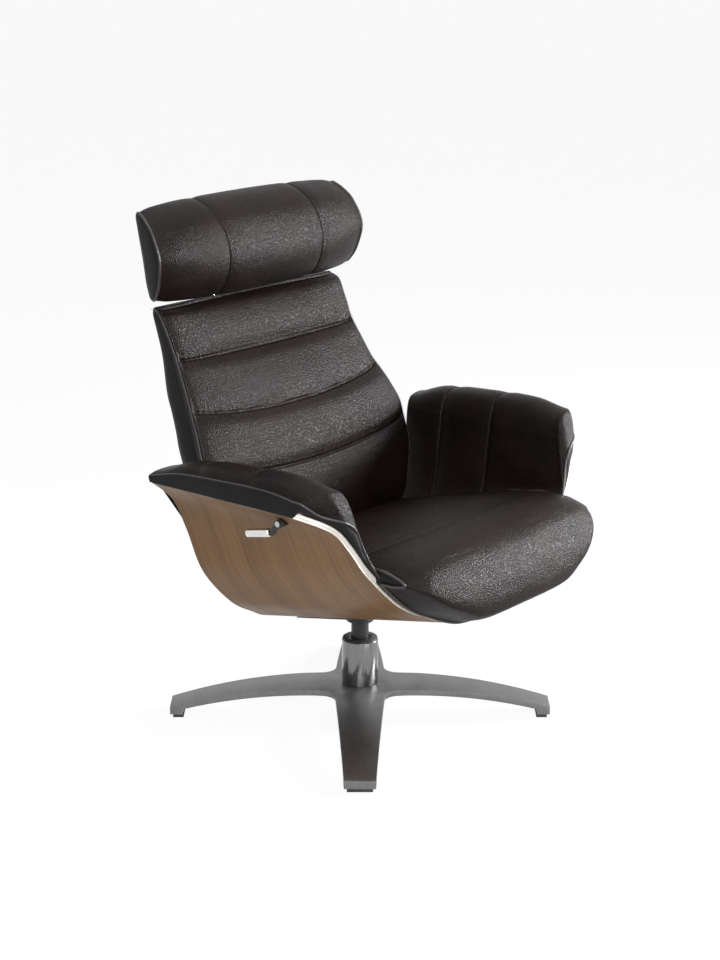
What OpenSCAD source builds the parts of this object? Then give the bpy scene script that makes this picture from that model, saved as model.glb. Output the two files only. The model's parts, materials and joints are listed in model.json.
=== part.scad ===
// Star base swivel recliner: a plywood shell on a four-leg swivel base,
// with a leather seat, arm pads, a reclining back and a roll headrest.
// Origin: on the floor, under the middle of the chair's outline. +Z up, -Y front, -X the sitter's right.
// The sizes below are measured from the swivel axis, which the modules then set back to its place.

/* [Star base] */
// Reach of a leg, from the swivel axis to its square-cut tip
leg_reach = 360; // [310:5:400]
// Width of a leg at its tip
leg_tip_w = 56; // [46:1:70]
// Width of a leg where it meets the hub
leg_root_w = 97; // [84:1:110]
// Thickness of the cast legs
leg_t = 11; // [8:0.5:14]
// Height of the hub's top face above the floor
hub_top = 64; // [58:1:80]
// How far the top of a leg drops from the hub to the tip
leg_drop = 41; // [30:1:44]
// Distance from the axis at which a leg starts to arch down
arch_start = 80; // [60:1:100]
// Radius of the fillet between two legs
web_r = 30; // [16:1:40]
// Turn of the base under the chair, from the +X axis to a leg
base_turn = 38.8; // [0:0.1:90]
// Thickness of the rubber foot
foot_t = 8; // [6:0.5:9]
// Length of a foot along its leg
foot_len = 20; // [18:1:24]
// Inset of a foot from the leg's edges
foot_inset = 5; // [3:0.5:8]

/* [Column and spindle] */
// Outer diameter of the column
column_d = 68; // [60:1:80]
// Height of the column above the hub
column_h = 88; // [70:1:110]
// Wall of the column
column_wall = 5; // [4:0.5:8]
// Thickness of the column's floor
column_floor = 8; // [6:0.5:10]
// Diameter of the spindle that turns in the column
spindle_d = 33; // [28:0.5:38]
// Length of the bushes
bush_len = 18; // [12:1:24]
// Thickness of the thrust bearing
thrust_t = 6; // [4:0.5:8]
// Thickness of the black cap on the column
cap_t = 3; // [2:0.5:5]
// Height of the spindle that shows between the cap and the socket
spindle_gap = 34; // [24:1:44]
// Running clearance on the radius of turning fits
fit = 0.06; // [0.03:0.01:0.09]

/* [Shell] */
// Half of the width over the arms' lips
shell_half_w = 397; // [390:1:402]
// Height of the lip above the bottom of the shell, at the back edge
shell_h = 318; // [312:1:324]
// Height of the shell's bottom above the floor, at the back edge
shell_bottom = 203; // [201:1:206]
// Distance of the back edge behind the axis
shell_back = 120; // [116:1:124]
// Distance of the front edge ahead of the axis
shell_front = 322; // [318:1:326]
// Rise of the bottom from the back edge to the front edge
shell_rise = 86; // [82:1:90]
// Thickness of the moulded plywood
ply_t = 12; // [10:0.5:13]

/* [Seat] */
// Half of the seat cushion's width
seat_half_w = 277; // [270:1:279]
// Height of the seat's top at the front crown
seat_top = 440; // [436:1:450]
// Distance of the seat's nose ahead of the axis
seat_nose = 384; // [378:1:390]
// Thickness of the seat board
board_t = 12; // [10:0.5:13]
// Half of the seat board's width
board_half_w = 182; // [178:1:188]

/* [Back] */
// Height of the back's top above the floor
back_top = 785; // [778:1:792]
// Height of the back's bottom above the floor
back_bottom = 346; // [344:1:350]
// Half of the back's width at its hips
back_half_w = 285; // [278:1:285]
// Set-back of the back's top edge, from the axis to its front face
back_lean = 250; // [244:1:256]
// Depth of the channels between the back's rolls
channel_d = 9; // [4:1:12]
// Height of the recline axis
hinge_z = 300; // [298:1:302]
// Distance of the recline axis behind the axis
hinge_y = 104; // [102:1:105]
// Diameter of the recline pins
pin_d = 12; // [10:0.5:13]

/* [Headrest] */
// Half of the headrest's width
head_half_w = 291; // [280:1:296]
// Height of the headrest's roll
head_h = 178; // [172:1:184]
// Depth of the roll, from nose to back
head_depth = 112; // [108:1:116]
// Gap between the headrest and the back's top
head_gap = 12; // [11:0.5:16]
// Width of the headrest's two flat bars
bar_w = 30; // [26:1:34]
// Thickness of the bars
bar_t = 4; // [3:0.5:5]
// Half of the distance between the bars
bar_half = 90; // [80:1:100]

/* [Lever] */
// Length of the metal grip
grip_len = 52; // [46:1:60]
// Diameter of the grip
grip_d = 15; // [13:0.5:16]
// Diameter of the release shaft
shaft_d = 10; // [9:0.5:11]

/* [Hidden] */
$fn = 64;

// Small clearance between pieces that lie against each other
gap = 0.3;
under_gap = 1.8;
edge_out = 10;
// How far a cut runs past the piece that it cuts
over = 1;
// Step for the slope of a curve
step_share = 0.01;

// Shell outline from the middle to the lip: x, height, rise, back edge, front edge
shell_shares = [[0, 0, 1, 1, 1], [0.15, 0, 1, 1, 0.985], [0.28, 0.004, 1, 1, 0.96],
    [0.35, 0.022, 1, 1, 0.93], [0.42, 0.066, 1, 1, 0.88], [0.575, 0.185, 1, 1, 0.83],
    [0.75, 0.425, 0.93, 1.01, 0.79], [0.84, 0.70, 0.45, 1.04, 0.76], [0.905, 0.887, 0.13, 1.10, 0.705],
    [1, 1, -0.05, 1.20, 0.54]];
shell_run = shell_back + shell_front;
shell_cols = 24;
shell_rows = 8;

// Base
arch_run = leg_reach - arch_start;
arch_r = (arch_run * arch_run + leg_drop * leg_drop) / (2 * leg_drop);
leg_taper = (leg_root_w - leg_tip_w) / 2 / (leg_reach - column_d / 2);
tip_lug = 24;
foot_at = leg_reach - foot_inset - foot_len / 2;
screw_d = 8;
screw_head_d = 14;
screw_head_h = 5;
bolt_ring_share = 0.32;
bolt_ring = column_d * bolt_ring_share;
bolt_play = 0.4;
small_d = 4;
small_head_d = 9;
small_head_h = 2.5;

// Column
column_top = hub_top + column_h;
column_in_r = column_d / 2 - column_wall;
spindle_foot = hub_top + column_floor + thrust_t;
socket_base = column_top + cap_t + spindle_gap;
socket_d = 52;
plate_t = 4;
plate_half_x = 112;
plate_half_y = 62;
plate_bolt_x = 88;
plate_bolt_y = 42;
shell_tilt = atan(shell_rise / shell_run);
bottom_z = shell_bottom + shell_rise * shell_back / shell_run;

// Seat carcass
board_front = 276;
board_back = 56;
board_front_z = 343;
board_back_z = 300;
board_slope = (board_front_z - board_back_z) / (board_front + board_back);
rail_x = 165;
rail_t = 6;
ear_r = 14;
rail_front = 262;
rail_foot_y = [-205, 45];
rail_top_y = [-225, -15];
tab_w = 20;
tab_t = 6;
seat_rear = hinge_y - ear_r - edge_out - 4 * under_gap;
seat_low = shell_bottom + shell_rise + ply_t;

// Gas spring, with one pivot left open by a small play
crossbar_d = 16;
crossbar_y = 160;
crossbar_z = 306;
gas_x = 60;
gas_d = 22;
gas_len = 150;
gas_bore = 65;
rod_d = 8;
rod_len = 146;
crank_len = 50;
crank_back = 11;
crank_t = 5;
crank_pin_d = 8;
crank_pin = [hinge_y + crank_len * sin(crank_back), hinge_z - crank_len * cos(crank_back)];
open_play = 1.5;
gas_run = [crank_pin[0] + crossbar_y, crank_pin[1] - crossbar_z];
gas_angle = atan2(gas_run[1], gas_run[0]);
gas_span = norm(gas_run);

// Seat cushion outline, front to back and low to high, from the top at the back
seat_shares = [[1, 0.47], [0.93, 0.52], [0.817, 0.61], [0.604, 0.775], [0.391, 0.93], [0.243, 1],
    [0.126, 0.975], [0.051, 0.84], [0.009, 0.62], [0, 0.47], [0.014, 0.27], [0.055, 0.08], [0.10, 0.02]];
seat_steps = 20;
seat_cols = 18;
seat_round = 30;
seat_corner = 46;
seat_crown = 9;
seat_edge = 18;
seat_droop = 30;
seat_stations = [-150, -50];

// Arm pad outline: across, up (0 foot, 1 lip, 2 crown), front edge, back edge
pad_shares = [[1.003, 1.02, 0.55, 1.22], [1.003, 1.5, 0.56, 1.24], [0.985, 1.72, 0.57, 1.23],
    [0.957, 1.90, 0.59, 1.20], [0.912, 1.99, 0.62, 1.17], [0.87, 2, 0.64, 1.14], [0.826, 1.87, 0.655, 1.11],
    [0.797, 1.5, 0.675, 1.08], [0.78, 1, 0.70, 1.05], [0.766, 0.7, 0.725, 1.03], [0.75, 0.4, 0.75, 1.02],
    [0.735, 0.17, 0.775, 1], [0.722, 0.02, 0.79, 1]];
pad_crown_shares = [[0.42], [0.80], [0.96], [1.03], [1.09], [1.09], [0.95]];
pad_crown = 51;
pad_core_share = 0.93;
pad_core_front = 0.68;
pad_foot_col = 16;
pad_rows = 14;
pad_steps = 22;
pad_nose = 9;
pad_tail = 10;

// Back: height, front face, back face and half width
back_shares = [[0, 0, 0.40, 0.86], [0.078, 0, 0.46, 0.93], [0.20, 0.03, 0.56, 0.98], [0.30, 0.075, 0.66, 1],
    [0.435, 0.185, 0.80, 1], [0.52, 0.30, 0.90, 0.97], [0.59, 0.42, 1, 0.94], [0.663, 0.55, 1.12, 0.905],
    [0.806, 0.76, 1.20, 0.87], [0.906, 0.885, 1.24, 0.87], [0.98, 0.99, 1.25, 0.875], [1, 1.10, 1.18, 0.86]];
back_foot = hinge_y - ear_r;
back_run = back_lean - back_foot;
back_h = back_top - back_bottom;
back_cols = 14;
back_rows = 26;
cover_cols = 8;
seam_rows = 12;
parting_share = 0.42;
channel_shares = [0.335, 0.57, 0.80];
channel_smile_shares = [0.05, 0.05, 0.01];
edge_in = 8;
wing_d = 16;
lumbar_d = 8;

// Frame inside the back, placed by rows of the seam between cushion and cover
board_rows = [1, 8];
back_board_half = 172;
arm_x = 152;
arm_depth = 18;
arm_rows = 5;
strap_t = 4;
strap_rows = [3.1, 3.7];
strap_screw_x = 110;
bush_wall = 2;
tube_d = 20;

// Release lever on the right side of the shell
lever_y = 130;
lever_z = 495;
lever_out = 379;
lever_reach = 12;
lever_fall = 17;
grip_slope = 12;
lever_plate_t = 4;
lever_bush_d = shaft_d + 2 * bush_wall;
lever_bush_x = 374;
lever_bush_len = 25.5;
cam_x = 332;
wire_d = 1.6;
coil_turns = 3;
coil_pitch = 2.2;
coil_steps = 12;
pocket = [48, 50, 44];
cable_d = 5;
cable_s = 0.62;
cable_off = cable_d / 2 + 2 * gap;
cable_drop = 12;

// Headrest slide and tilt
bar_lean = 19.3;
bar_y = 275;
bar_in = 100;
guide_wall = 3;
guide_len = 80;
guide_top = 10;
tilt_y = 283;
tilt_z = 876;
tilt_d = 10;
tilt_range = 15;
clamp_r = 9;
clamp_w = 15;
clamp_x = 60;
clamp_base = 20;
clamp_foot_t = 3;
clamp_screw_z = 14;
head_board_half = 150;
head_board_h = 56;
head_board_in = 14;
head_board_y = tilt_y - head_board_in;

// Headrest outline at its middle and its ends: nose to back, and bottom to top
head_mid_shares = [[0.78, 0.02], [0.95, 0.15], [0.98, 0.45], [1, 0.78], [0.98, 0.93], [0.84, 1], [0.52, 0.945],
    [0.2, 0.79], [0, 0.53], [0.01, 0.29], [0.18, 0.08], [0.42, 0], [0.78, 0.02]];
head_end_shares = [[0.62, 0.06], [0.69, 0.2], [0.75, 0.47], [0.86, 0.78], [0.90, 0.90], [0.83, 0.94], [0.6, 0.85],
    [0.43, 0.73], [0.22, 0.49], [0.17, 0.22], [0.26, 0.07], [0.43, 0.03], [0.62, 0.06]];
head_low = back_top + head_gap;
head_nose = 192;
head_cols = 12;
head_steps = 26;
head_taper_share = 0.10;

function mix(a, b, t) = a + (b - a) * t;
function knot(p, i) = p[max(0, min(len(p) - 1, i))];
function bend(a, b, c, d, f) =
    (2 * b + (c - a) * f + (2 * a - 5 * b + 4 * c - d) * f * f + (3 * b - a - 3 * c + d) * f * f * f) / 2;
// Smooth curve through the rows of a table, from its first row at 0 to its last at 1
function along(p, t) =
    let (s = max(0, min(1, t)) * (len(p) - 1), i = min(floor(s), len(p) - 2))
    bend(knot(p, i - 1), knot(p, i), knot(p, i + 1), knot(p, i + 2), s - i);
function mean(p) = [for (c = [0:2]) [for (q = p) q[c]] * [for (q = p) 1] / len(p)];

// Closed slab between two grids of points, the upper one first
module slab(a, b) {
    n = len(a) - 1;
    m = len(a[0]) - 1;
    k = (n + 1) * (m + 1);
    at = function(g, i, j) g * k + i * (m + 1) + j;
    polyhedron(points = concat([for (r = a) each r], [for (r = b) each r]), faces = concat(
        [for (i = [0:n - 1], j = [0:m - 1]) each
            [[at(0, i, j), at(0, i + 1, j), at(0, i + 1, j + 1)], [at(0, i, j), at(0, i + 1, j + 1), at(0, i, j + 1)],
             [at(1, i, j), at(1, i + 1, j + 1), at(1, i + 1, j)], [at(1, i, j), at(1, i, j + 1), at(1, i + 1, j + 1)]]],
        [for (i = [0:n - 1]) each
            [[at(0, i + 1, 0), at(0, i, 0), at(1, i, 0)], [at(0, i + 1, 0), at(1, i, 0), at(1, i + 1, 0)],
             [at(0, i, m), at(0, i + 1, m), at(1, i + 1, m)], [at(0, i, m), at(1, i + 1, m), at(1, i, m)]]],
        [for (j = [0:m - 1]) each
            [[at(0, 0, j), at(0, 0, j + 1), at(1, 0, j + 1)], [at(0, 0, j), at(1, 0, j + 1), at(1, 0, j)],
             [at(0, n, j + 1), at(0, n, j), at(1, n, j)], [at(0, n, j + 1), at(1, n, j), at(1, n, j + 1)]]]));
}

// Faces between the first points of a ring and the rest, matched by how far back they are
function reach(ring, split, i) = let (m = len(ring))
    max([for (k = [0:i]) len([for (j = [1:m - 2 - split]) if (ring[m - 1 - j][1] >= ring[k][1]) j])]);
function zipped(ring, split) = let (m = len(ring))
    [for (i = [0:split - 1]) let (a = reach(ring, split, i), b = reach(ring, split, i + 1))
        each concat([[i, i + 1, m - 1 - a]], [for (j = [a:1:b - 1]) [i + 1, m - 2 - j, m - 1 - j]])];
// Closed solid through a row of rings that all have the same number of points
module loft(rings, ends = undef, split = 0) {
    n = len(rings) - 1;
    m = len(rings[0]);
    caps = split > 0 ? [] : ends == undef ? [mean(rings[0]), mean(rings[n])] : ends;
    at = function(i, j) i * m + j % m;
    first = (n + 1) * m;
    polyhedron(points = concat([for (r = rings) each r], caps), faces = concat(
        [for (i = [0:n - 1], j = [0:m - 1]) each
            [[at(i, j), at(i + 1, j), at(i + 1, j + 1)], [at(i, j), at(i + 1, j + 1), at(i, j + 1)]]],
        split > 0 ? concat([for (f = zipped(rings[0], split)) f], [for (f = zipped(rings[n], split)) [n * m + f[2], n * m + f[1], n * m + f[0]]])
            : [for (j = [0:m - 1]) each [[first, at(0, j), at(0, j + 1)], [first + 1, at(n, j + 1), at(n, j)]]]));
}

// Point of the shell's outer face: t runs from lip to lip, s from the back edge to the front
function shell_out(t, s) =
    let (c = along(shell_shares, abs(t)), y = mix(shell_back * c[3], -shell_front * c[4], s))
    [sign(t) * shell_half_w * c[0], y,
     shell_bottom + shell_h * c[1] + shell_rise * c[2] * (shell_back - y) / shell_run];
function shell_normal(t, s) =
    let (a = shell_out(t - step_share, s), b = shell_out(t + step_share, s), v = [a[2] - b[2], 0, b[0] - a[0]])
    v / norm(v);
function shell_in(t, s, d) = shell_out(t, s) + shell_normal(t, s) * d;
// Height of the shell's faces over a point of the floor
function shell_col(x, c) =
    lookup(abs(x) / shell_half_w, [for (i = [0:40]) let (r = along(shell_shares, i / 40)) [r[0], r[c]]]);
function shell_z(x, y) =
    shell_bottom + shell_h * shell_col(x, 1) + shell_rise * shell_col(x, 2) * (shell_back - y) / shell_run;
function shell_top_z(x, y) =
    let (e = shell_half_w * step_share, m = (shell_z(abs(x) + e, y) - shell_z(abs(x) - e, y)) / (2 * e))
    shell_z(x, y) + ply_t * sqrt(1 + m * m);
function board_z(y) = board_back_z + (board_back - y) * board_slope;

// Moves what is drawn about the swivel axis to its place in the chair's own frame
swivel_y = (seat_nose - head_nose - head_depth) / 2;
module centred() { translate([0, swivel_y, 0]) children(); }

// Star base
// Side view of what is cut away above and below the arch of a leg
module leg_above() {
    difference() {
        translate([arch_start, 0]) square([arch_run + over, 2 * hub_top]);
        translate([arch_start, hub_top + gap - arch_r]) circle(arch_r, $fn = 360);
    }
}
module leg_below() {
    intersection() {
        translate([arch_start, 0]) square([arch_run - tip_lug, hub_top]);
        translate([arch_start, hub_top + gap - arch_r]) circle(arch_r - leg_t, $fn = 360);
    }
}
module leg_plan() {
    half_root = leg_tip_w / 2 + leg_taper * leg_reach;
    polygon([[0, -half_root], [leg_reach, -leg_tip_w / 2], [leg_reach, leg_tip_w / 2], [0, half_root]]);
}
// Fillet between two legs, as the corner patch less a circle that touches both edges
module web_plan() {
    half_root = leg_tip_w / 2 + leg_taper * leg_reach;
    k = sqrt(1 + leg_taper * leg_taper);
    c = (half_root + web_r * k) / (1 + leg_taper);
    difference() {
        polygon([[0, 0], [c, c - web_r / k], [c, c], [c - web_r / k, c]]);
        translate([c, c]) circle(web_r + gap);
    }
}
module at_legs() { for (a = [0:90:270]) rotate([0, 0, base_turn + a]) children(); }
module at_column_bolts() { for (a = [45:90:315]) rotate([0, 0, base_turn + a]) translate([bolt_ring, 0, 0]) children(); }
module base_star() {
    color("#5b5c5e") centred() difference() {
        translate([0, 0, foot_t]) linear_extrude(hub_top - foot_t) {
            at_legs() leg_plan();
            at_legs() web_plan();
        }
        cylinder(r = arch_start + leg_root_w / 3, h = hub_top - leg_t);
        at_legs() translate([0, leg_root_w / 2, 0]) rotate([90, 0, 0]) linear_extrude(leg_root_w) {
            leg_above();
            leg_below();
        }
        at_column_bolts() cylinder(d = screw_d + 2 * bolt_play, h = hub_top + over);
        at_legs() translate([foot_at, 0, 0]) cylinder(d = screw_d, h = foot_t + screw_d);
    }
}
module foot_pads() {
    color("#1b1b1b") centred() at_legs() difference() {
        translate([foot_at - foot_len / 2, foot_inset - leg_tip_w / 2, 0])
            cube([foot_len, leg_tip_w - 2 * foot_inset, foot_t]);
        translate([foot_at, 0, 0]) cylinder(d = screw_d + 2 * bolt_play, h = foot_t + over);
        translate([foot_at, 0, -over]) cylinder(d = screw_head_d, h = over + foot_t / 2);
    }
}
module foot_screws() {
    color("#8f8f8f") centred() at_legs() translate([foot_at, 0, over]) {
        cylinder(d = screw_head_d - 2 * bolt_play, h = foot_t / 2 - over);
        cylinder(d = screw_d, h = foot_t + screw_d - over);
    }
}

// Column
module column_tube() {
    color("#4a4b4d") centred() difference() {
        translate([0, 0, hub_top]) cylinder(d = column_d, h = column_h, $fn = 96);
        translate([0, 0, hub_top + column_floor]) cylinder(r = column_in_r, h = column_h, $fn = 96);
        at_column_bolts() translate([0, 0, hub_top - over]) cylinder(d = screw_d, h = column_floor + 2 * over);
    }
}
module column_bolts() {
    color("#77787a") centred() at_column_bolts() translate([0, 0, hub_top - leg_t]) {
        translate([0, 0, -screw_head_h]) cylinder(d = screw_head_d, h = screw_head_h);
        cylinder(d = screw_d, h = leg_t + column_floor);
    }
}
module column_cap() {
    color("#141414") centred() translate([0, 0, column_top]) difference() {
        cylinder(d = column_d - column_wall / 2, h = cap_t);
        translate([0, 0, -over]) cylinder(d = spindle_d + 4 * bolt_play, h = cap_t + 2 * over);
    }
}
module bush(z) {
    translate([0, 0, z]) difference() {
        cylinder(r = column_in_r, h = bush_len);
        translate([0, 0, -over]) cylinder(r = spindle_d / 2 + fit, h = bush_len + 2 * over);
    }
}
module upper_bush() { color("#2a2a2a") centred() bush(column_top - bush_len); }
module lower_bush() { color("#2a2a2a") centred() bush(spindle_foot + bush_len / 2); }
module thrust_bearing() {
    color("#b5b5b5") centred() translate([0, 0, hub_top + column_floor]) difference() {
        cylinder(r = column_in_r - over, h = thrust_t);
        translate([0, 0, -over]) cylinder(d = spindle_d / 3, h = thrust_t + 2 * over);
    }
}
module spindle() {
    color("#161616") centred() translate([0, 0, spindle_foot])
        cylinder(d = spindle_d, h = bottom_z - plate_t - spindle_foot - socket_d * tan(shell_tilt) / 2);
}

// Mounting plate under the shell, and its fasteners
module on_shell() { translate([0, 0, bottom_z]) rotate([-shell_tilt, 0, 0]) children(); }
module at_plate_bolts() {
    on_shell() for (x = [-1, 1], y = [-1, 1]) translate([x * plate_bolt_x, y * plate_bolt_y, 0]) children();
}
module mount_plate() {
    color("#1c1c1d") centred() difference() {
        union() {
            on_shell() translate([-plate_half_x, -plate_half_y, -plate_t]) cube([2 * plate_half_x, 2 * plate_half_y, plate_t - gap]);
            difference() {
                translate([0, 0, socket_base]) cylinder(d = socket_d, h = bottom_z - socket_base);
                on_shell() translate([-socket_d, -socket_d, -plate_t / 2]) cube([2 * socket_d, 2 * socket_d, socket_d]);
            }
        }
        cylinder(d = spindle_d, h = bottom_z - plate_t - socket_d * tan(shell_tilt) / 2);
        at_plate_bolts() translate([0, 0, -plate_t - over]) cylinder(d = screw_d + 2 * bolt_play, h = plate_t + 2 * over);
    }
}
module plate_bolts() {
    color("#2b2b2b") centred() at_plate_bolts() {
        translate([0, 0, -plate_t - screw_head_h]) cylinder(d = screw_head_d, h = screw_head_h);
        translate([0, 0, -plate_t]) cylinder(d = screw_d, h = plate_t + ply_t + screw_head_h);
    }
}
module tee_nuts() {
    color("#9a9a9a") centred() at_plate_bolts() translate([0, 0, ply_t + 3 * gap]) difference() {
        cylinder(d = 2 * screw_head_d, h = screw_head_h);
        translate([0, 0, -over]) cylinder(d = screw_d, h = screw_head_h + 2 * over);
    }
}

// Shell
function shell_grid(d) =
    [for (i = [-shell_cols:shell_cols]) [for (j = [0:shell_rows]) shell_in(i / shell_cols, j / shell_rows, d)]];
module shell() {
    color("#7b5a3c") centred() difference() {
        slab(shell_grid(ply_t), shell_grid(0));
        at_plate_bolts() translate([0, 0, -ply_t]) cylinder(d = screw_d + 2 * bolt_play, h = 3 * ply_t);
        at_rail_feet() translate([-tab_w / 2, 0, -ply_t]) cylinder(d = small_d, h = 2 * ply_t);
        on_lever() translate([-lever_bush_x - tab_w, 0, 0]) rotate([0, 90, 0]) cylinder(d = lever_bush_d, h = 3 * tab_w);
    }
}

// Seat
function shell_edge_y(x) = -shell_front * shell_col(x, 4);
function seat_low_z(x, y) =
    let (edge = shell_edge_y(x))
    shell_top_z(x, max(y, edge)) + under_gap - (y < edge ? seat_droop * pow(abs(x) / seat_half_w, 6) : 0);
function seat_ring(u) =
    let (x = u * seat_half_w, e = pow(abs(u), 3), w = pow(abs(u), 12), edge = shell_edge_y(x),
         nose = seat_nose - seat_round * e - seat_corner * w, run = nose + seat_rear, h = seat_top - seat_low,
         top = [for (i = [0:seat_steps]) let (c = along(seat_shares, i / seat_steps))
             [x, -nose + run * c[0], seat_low + h * c[1] - seat_crown * e - seat_edge * w * c[1]]],
         stops = concat([edge, -board_front - 3 * gap, -board_front - 2 * gap], seat_stations, [board_back, seat_rear]),
         low = [for (k = [0:len(stops) - 1]) let (y = max(stops[k], edge + k * gap))
             [x, y, y < -board_front - 2 * gap ? seat_low_z(x, y)
                 : max(seat_low_z(x, y), board_z(max(y, -board_front)) + board_t + gap)]])
    concat([for (i = [0:seat_steps]) let (p = top[i])
            [p[0], p[1], max(p[2], seat_low_z(x, p[1]) + gap * (seat_steps + 1 - i))]],
        [[x, edge - 2 * gap, seat_low_z(x, edge - gap)]], low);
module seat_cushion() {
    color("#2b1d1a") centred() difference() {
        loft([for (i = [-seat_cols:seat_cols]) seat_ring(sin(90 * i / seat_cols))], split = seat_steps + 1);
        cable(cable_off + gap, 6);
    }
}
module seat_board() {
    color("#b89a6d") centred() difference() {
        rotate([90, 0, 90]) translate([0, 0, -board_half_w]) linear_extrude(2 * board_half_w)
            polygon([[-board_front, board_front_z], [board_back, board_back_z],
                [board_back, board_back_z + board_t], [-board_front, board_front_z + board_t]]);
        at_rail_tops() translate([-tab_w / 2, 0, -over]) cylinder(d = small_d, h = board_t - 2 * over);
    }
}
// Side rail: stands on the shell, carries the board, and ends in an ear for the recline pin
module at_rail_feet() {
    for (m = [0, 1], y = rail_foot_y) mirror([m, 0, 0])
        translate([rail_x, y, shell_top_z(rail_x, y) + 2 * gap]) rotate([-shell_tilt, 0, 0]) children();
}
module at_rail_tops() {
    for (m = [0, 1], y = rail_top_y) mirror([m, 0, 0])
        translate([rail_x, y, board_z(y)]) rotate([-atan(board_slope), 0, 0]) children();
}
module rail() {
    drop = shell_top_z(rail_x, 0) - shell_top_z(rail_x - tab_w, 0);
    difference() {
        union() {
            translate([rail_x, 0, 0]) rotate([90, 0, 90]) linear_extrude(rail_t) {
                polygon([for (y = [-rail_front, hinge_y]) [y, shell_top_z(rail_x + rail_t, y) + 2 * gap],
                    [hinge_y, hinge_z], [board_back + 2, hinge_z], [board_back + 2, board_back_z],
                    [board_back, board_back_z], [-rail_front, board_z(-rail_front)]]);
                translate([hinge_y, hinge_z]) circle(ear_r);
            }
            intersection() {
                at_rail_feet() rotate([90, 0, 0]) translate([0, 0, -tab_w / 2]) linear_extrude(tab_w)
                    polygon([[-tab_w, -drop], [over, 0], [over, tab_t], [-tab_w, tab_t]]);
                translate([0, -rail_front, 0]) cube([rail_x + rail_t, 2 * rail_front, 2 * rail_front]);
            }
            intersection() {
                at_rail_tops() translate([-tab_w, -tab_w / 2, -tab_t]) cube([tab_w + over, tab_w, tab_t]);
                translate([0, -rail_front, 0]) cube([rail_x + rail_t, 2 * rail_front, 2 * rail_front]);
            }
        }
        translate([rail_x - over, hinge_y, hinge_z]) rotate([0, 90, 0]) cylinder(d = pin_d, h = rail_t + 2 * over);
        translate([rail_x - over, -crossbar_y, crossbar_z]) rotate([0, 90, 0])
            cylinder(d = crossbar_d, h = rail_t + 2 * over);
        at_rail_feet() translate([-tab_w / 2, 0, -tab_w]) cylinder(d = small_d, h = 2 * tab_w);
        at_rail_tops() translate([-tab_w / 2, 0, -tab_w]) cylinder(d = small_d, h = 2 * tab_w);
        translate([rail_x - over, cable_cross[1], cable_cross[2]]) rotate([0, 90, 0])
            cylinder(d = 3 * cable_d, h = rail_t + 2 * over);
    }
}
module rail_left() { color("#2e2f31") centred() rail(); }
module rail_right() { color("#2e2f31") centred() mirror([1, 0, 0]) rail(); }
module rail_screws() {
    color("#9a9a9a") centred() at_rail_feet() translate([-tab_w / 2, 0, 0]) {
        translate([0, 0, tab_t]) cylinder(d = small_head_d, h = small_head_h);
        translate([0, 0, -ply_t]) cylinder(d = small_d, h = ply_t + tab_t);
    }
}
module board_screws() {
    color("#9a9a9a") centred() at_rail_tops() translate([-tab_w / 2, 0, 0]) {
        translate([0, 0, -tab_t - small_head_h]) cylinder(d = small_head_d, h = small_head_h);
        translate([0, 0, -tab_t]) cylinder(d = small_d, h = tab_t + board_t - 4 * over);
    }
}
module cross_bar() {
    color("#3a3b3d") centred() translate([-rail_x - rail_t, -crossbar_y, crossbar_z]) rotate([0, 90, 0])
        cylinder(d = crossbar_d, h = 2 * rail_x + 2 * rail_t);
}

// Arm pads
function pad_core(s, ahead) =
    let (lip = shell_out(1, s)) [shell_half_w * pad_core_share, mix(shell_back, -shell_front * pad_core_front, s) - ahead, lip[2]];
function pad_ring(s, grow, ahead) =
    let (lip = shell_out(1, s), foot = shell_in(pad_foot_col / shell_cols, s, ply_t)[2],
         crown = pad_crown * along(pad_crown_shares, s)[0], mid = pad_core(s, 0),
         seen = [for (i = [0:pad_steps]) let (c = along(pad_shares, i / pad_steps))
             [shell_half_w * c[0], mix(shell_back * c[3], -shell_front * c[2], s),
              c[1] > 1 ? lip[2] + (c[1] - 1) * crown : mix(foot, lip[2], c[1])]],
         hid = [for (i = [pad_foot_col:shell_cols])
             shell_in(i / shell_cols, s, ply_t + gap) + (i == shell_cols ? gap : 0) * [1, 0, 1]])
    [for (p = concat(seen, hid)) [mix(mid[0], p[0], grow), p[1] - ahead, mix(mid[2], p[2], grow)]];
module arm_pad() {
    loft(concat([pad_ring(0, 0.5, -pad_tail)], [pad_ring(0, 0.85, -0.7 * pad_tail)],
        [for (j = [0:pad_rows]) pad_ring(j / pad_rows, 1, 0)],
        [pad_ring(1, 0.93, pad_nose * 0.6)], [pad_ring(1, 0.75, pad_nose)]),
        [pad_core(0, -pad_tail), pad_core(1, pad_nose)]);
}
module arm_pad_left() { color("#2b1d1a") centred() arm_pad(); }
module arm_pad_right() {
    color("#2b1d1a") centred() difference() {
        mirror([1, 0, 0]) arm_pad();
        on_lever() translate([-lever_out, -pocket[1] / 2, -pocket[2] / 2]) cube([pocket[0] + tab_t, pocket[1], pocket[2]]);
        cable(cable_off + gap, 6);
    }
}

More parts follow.
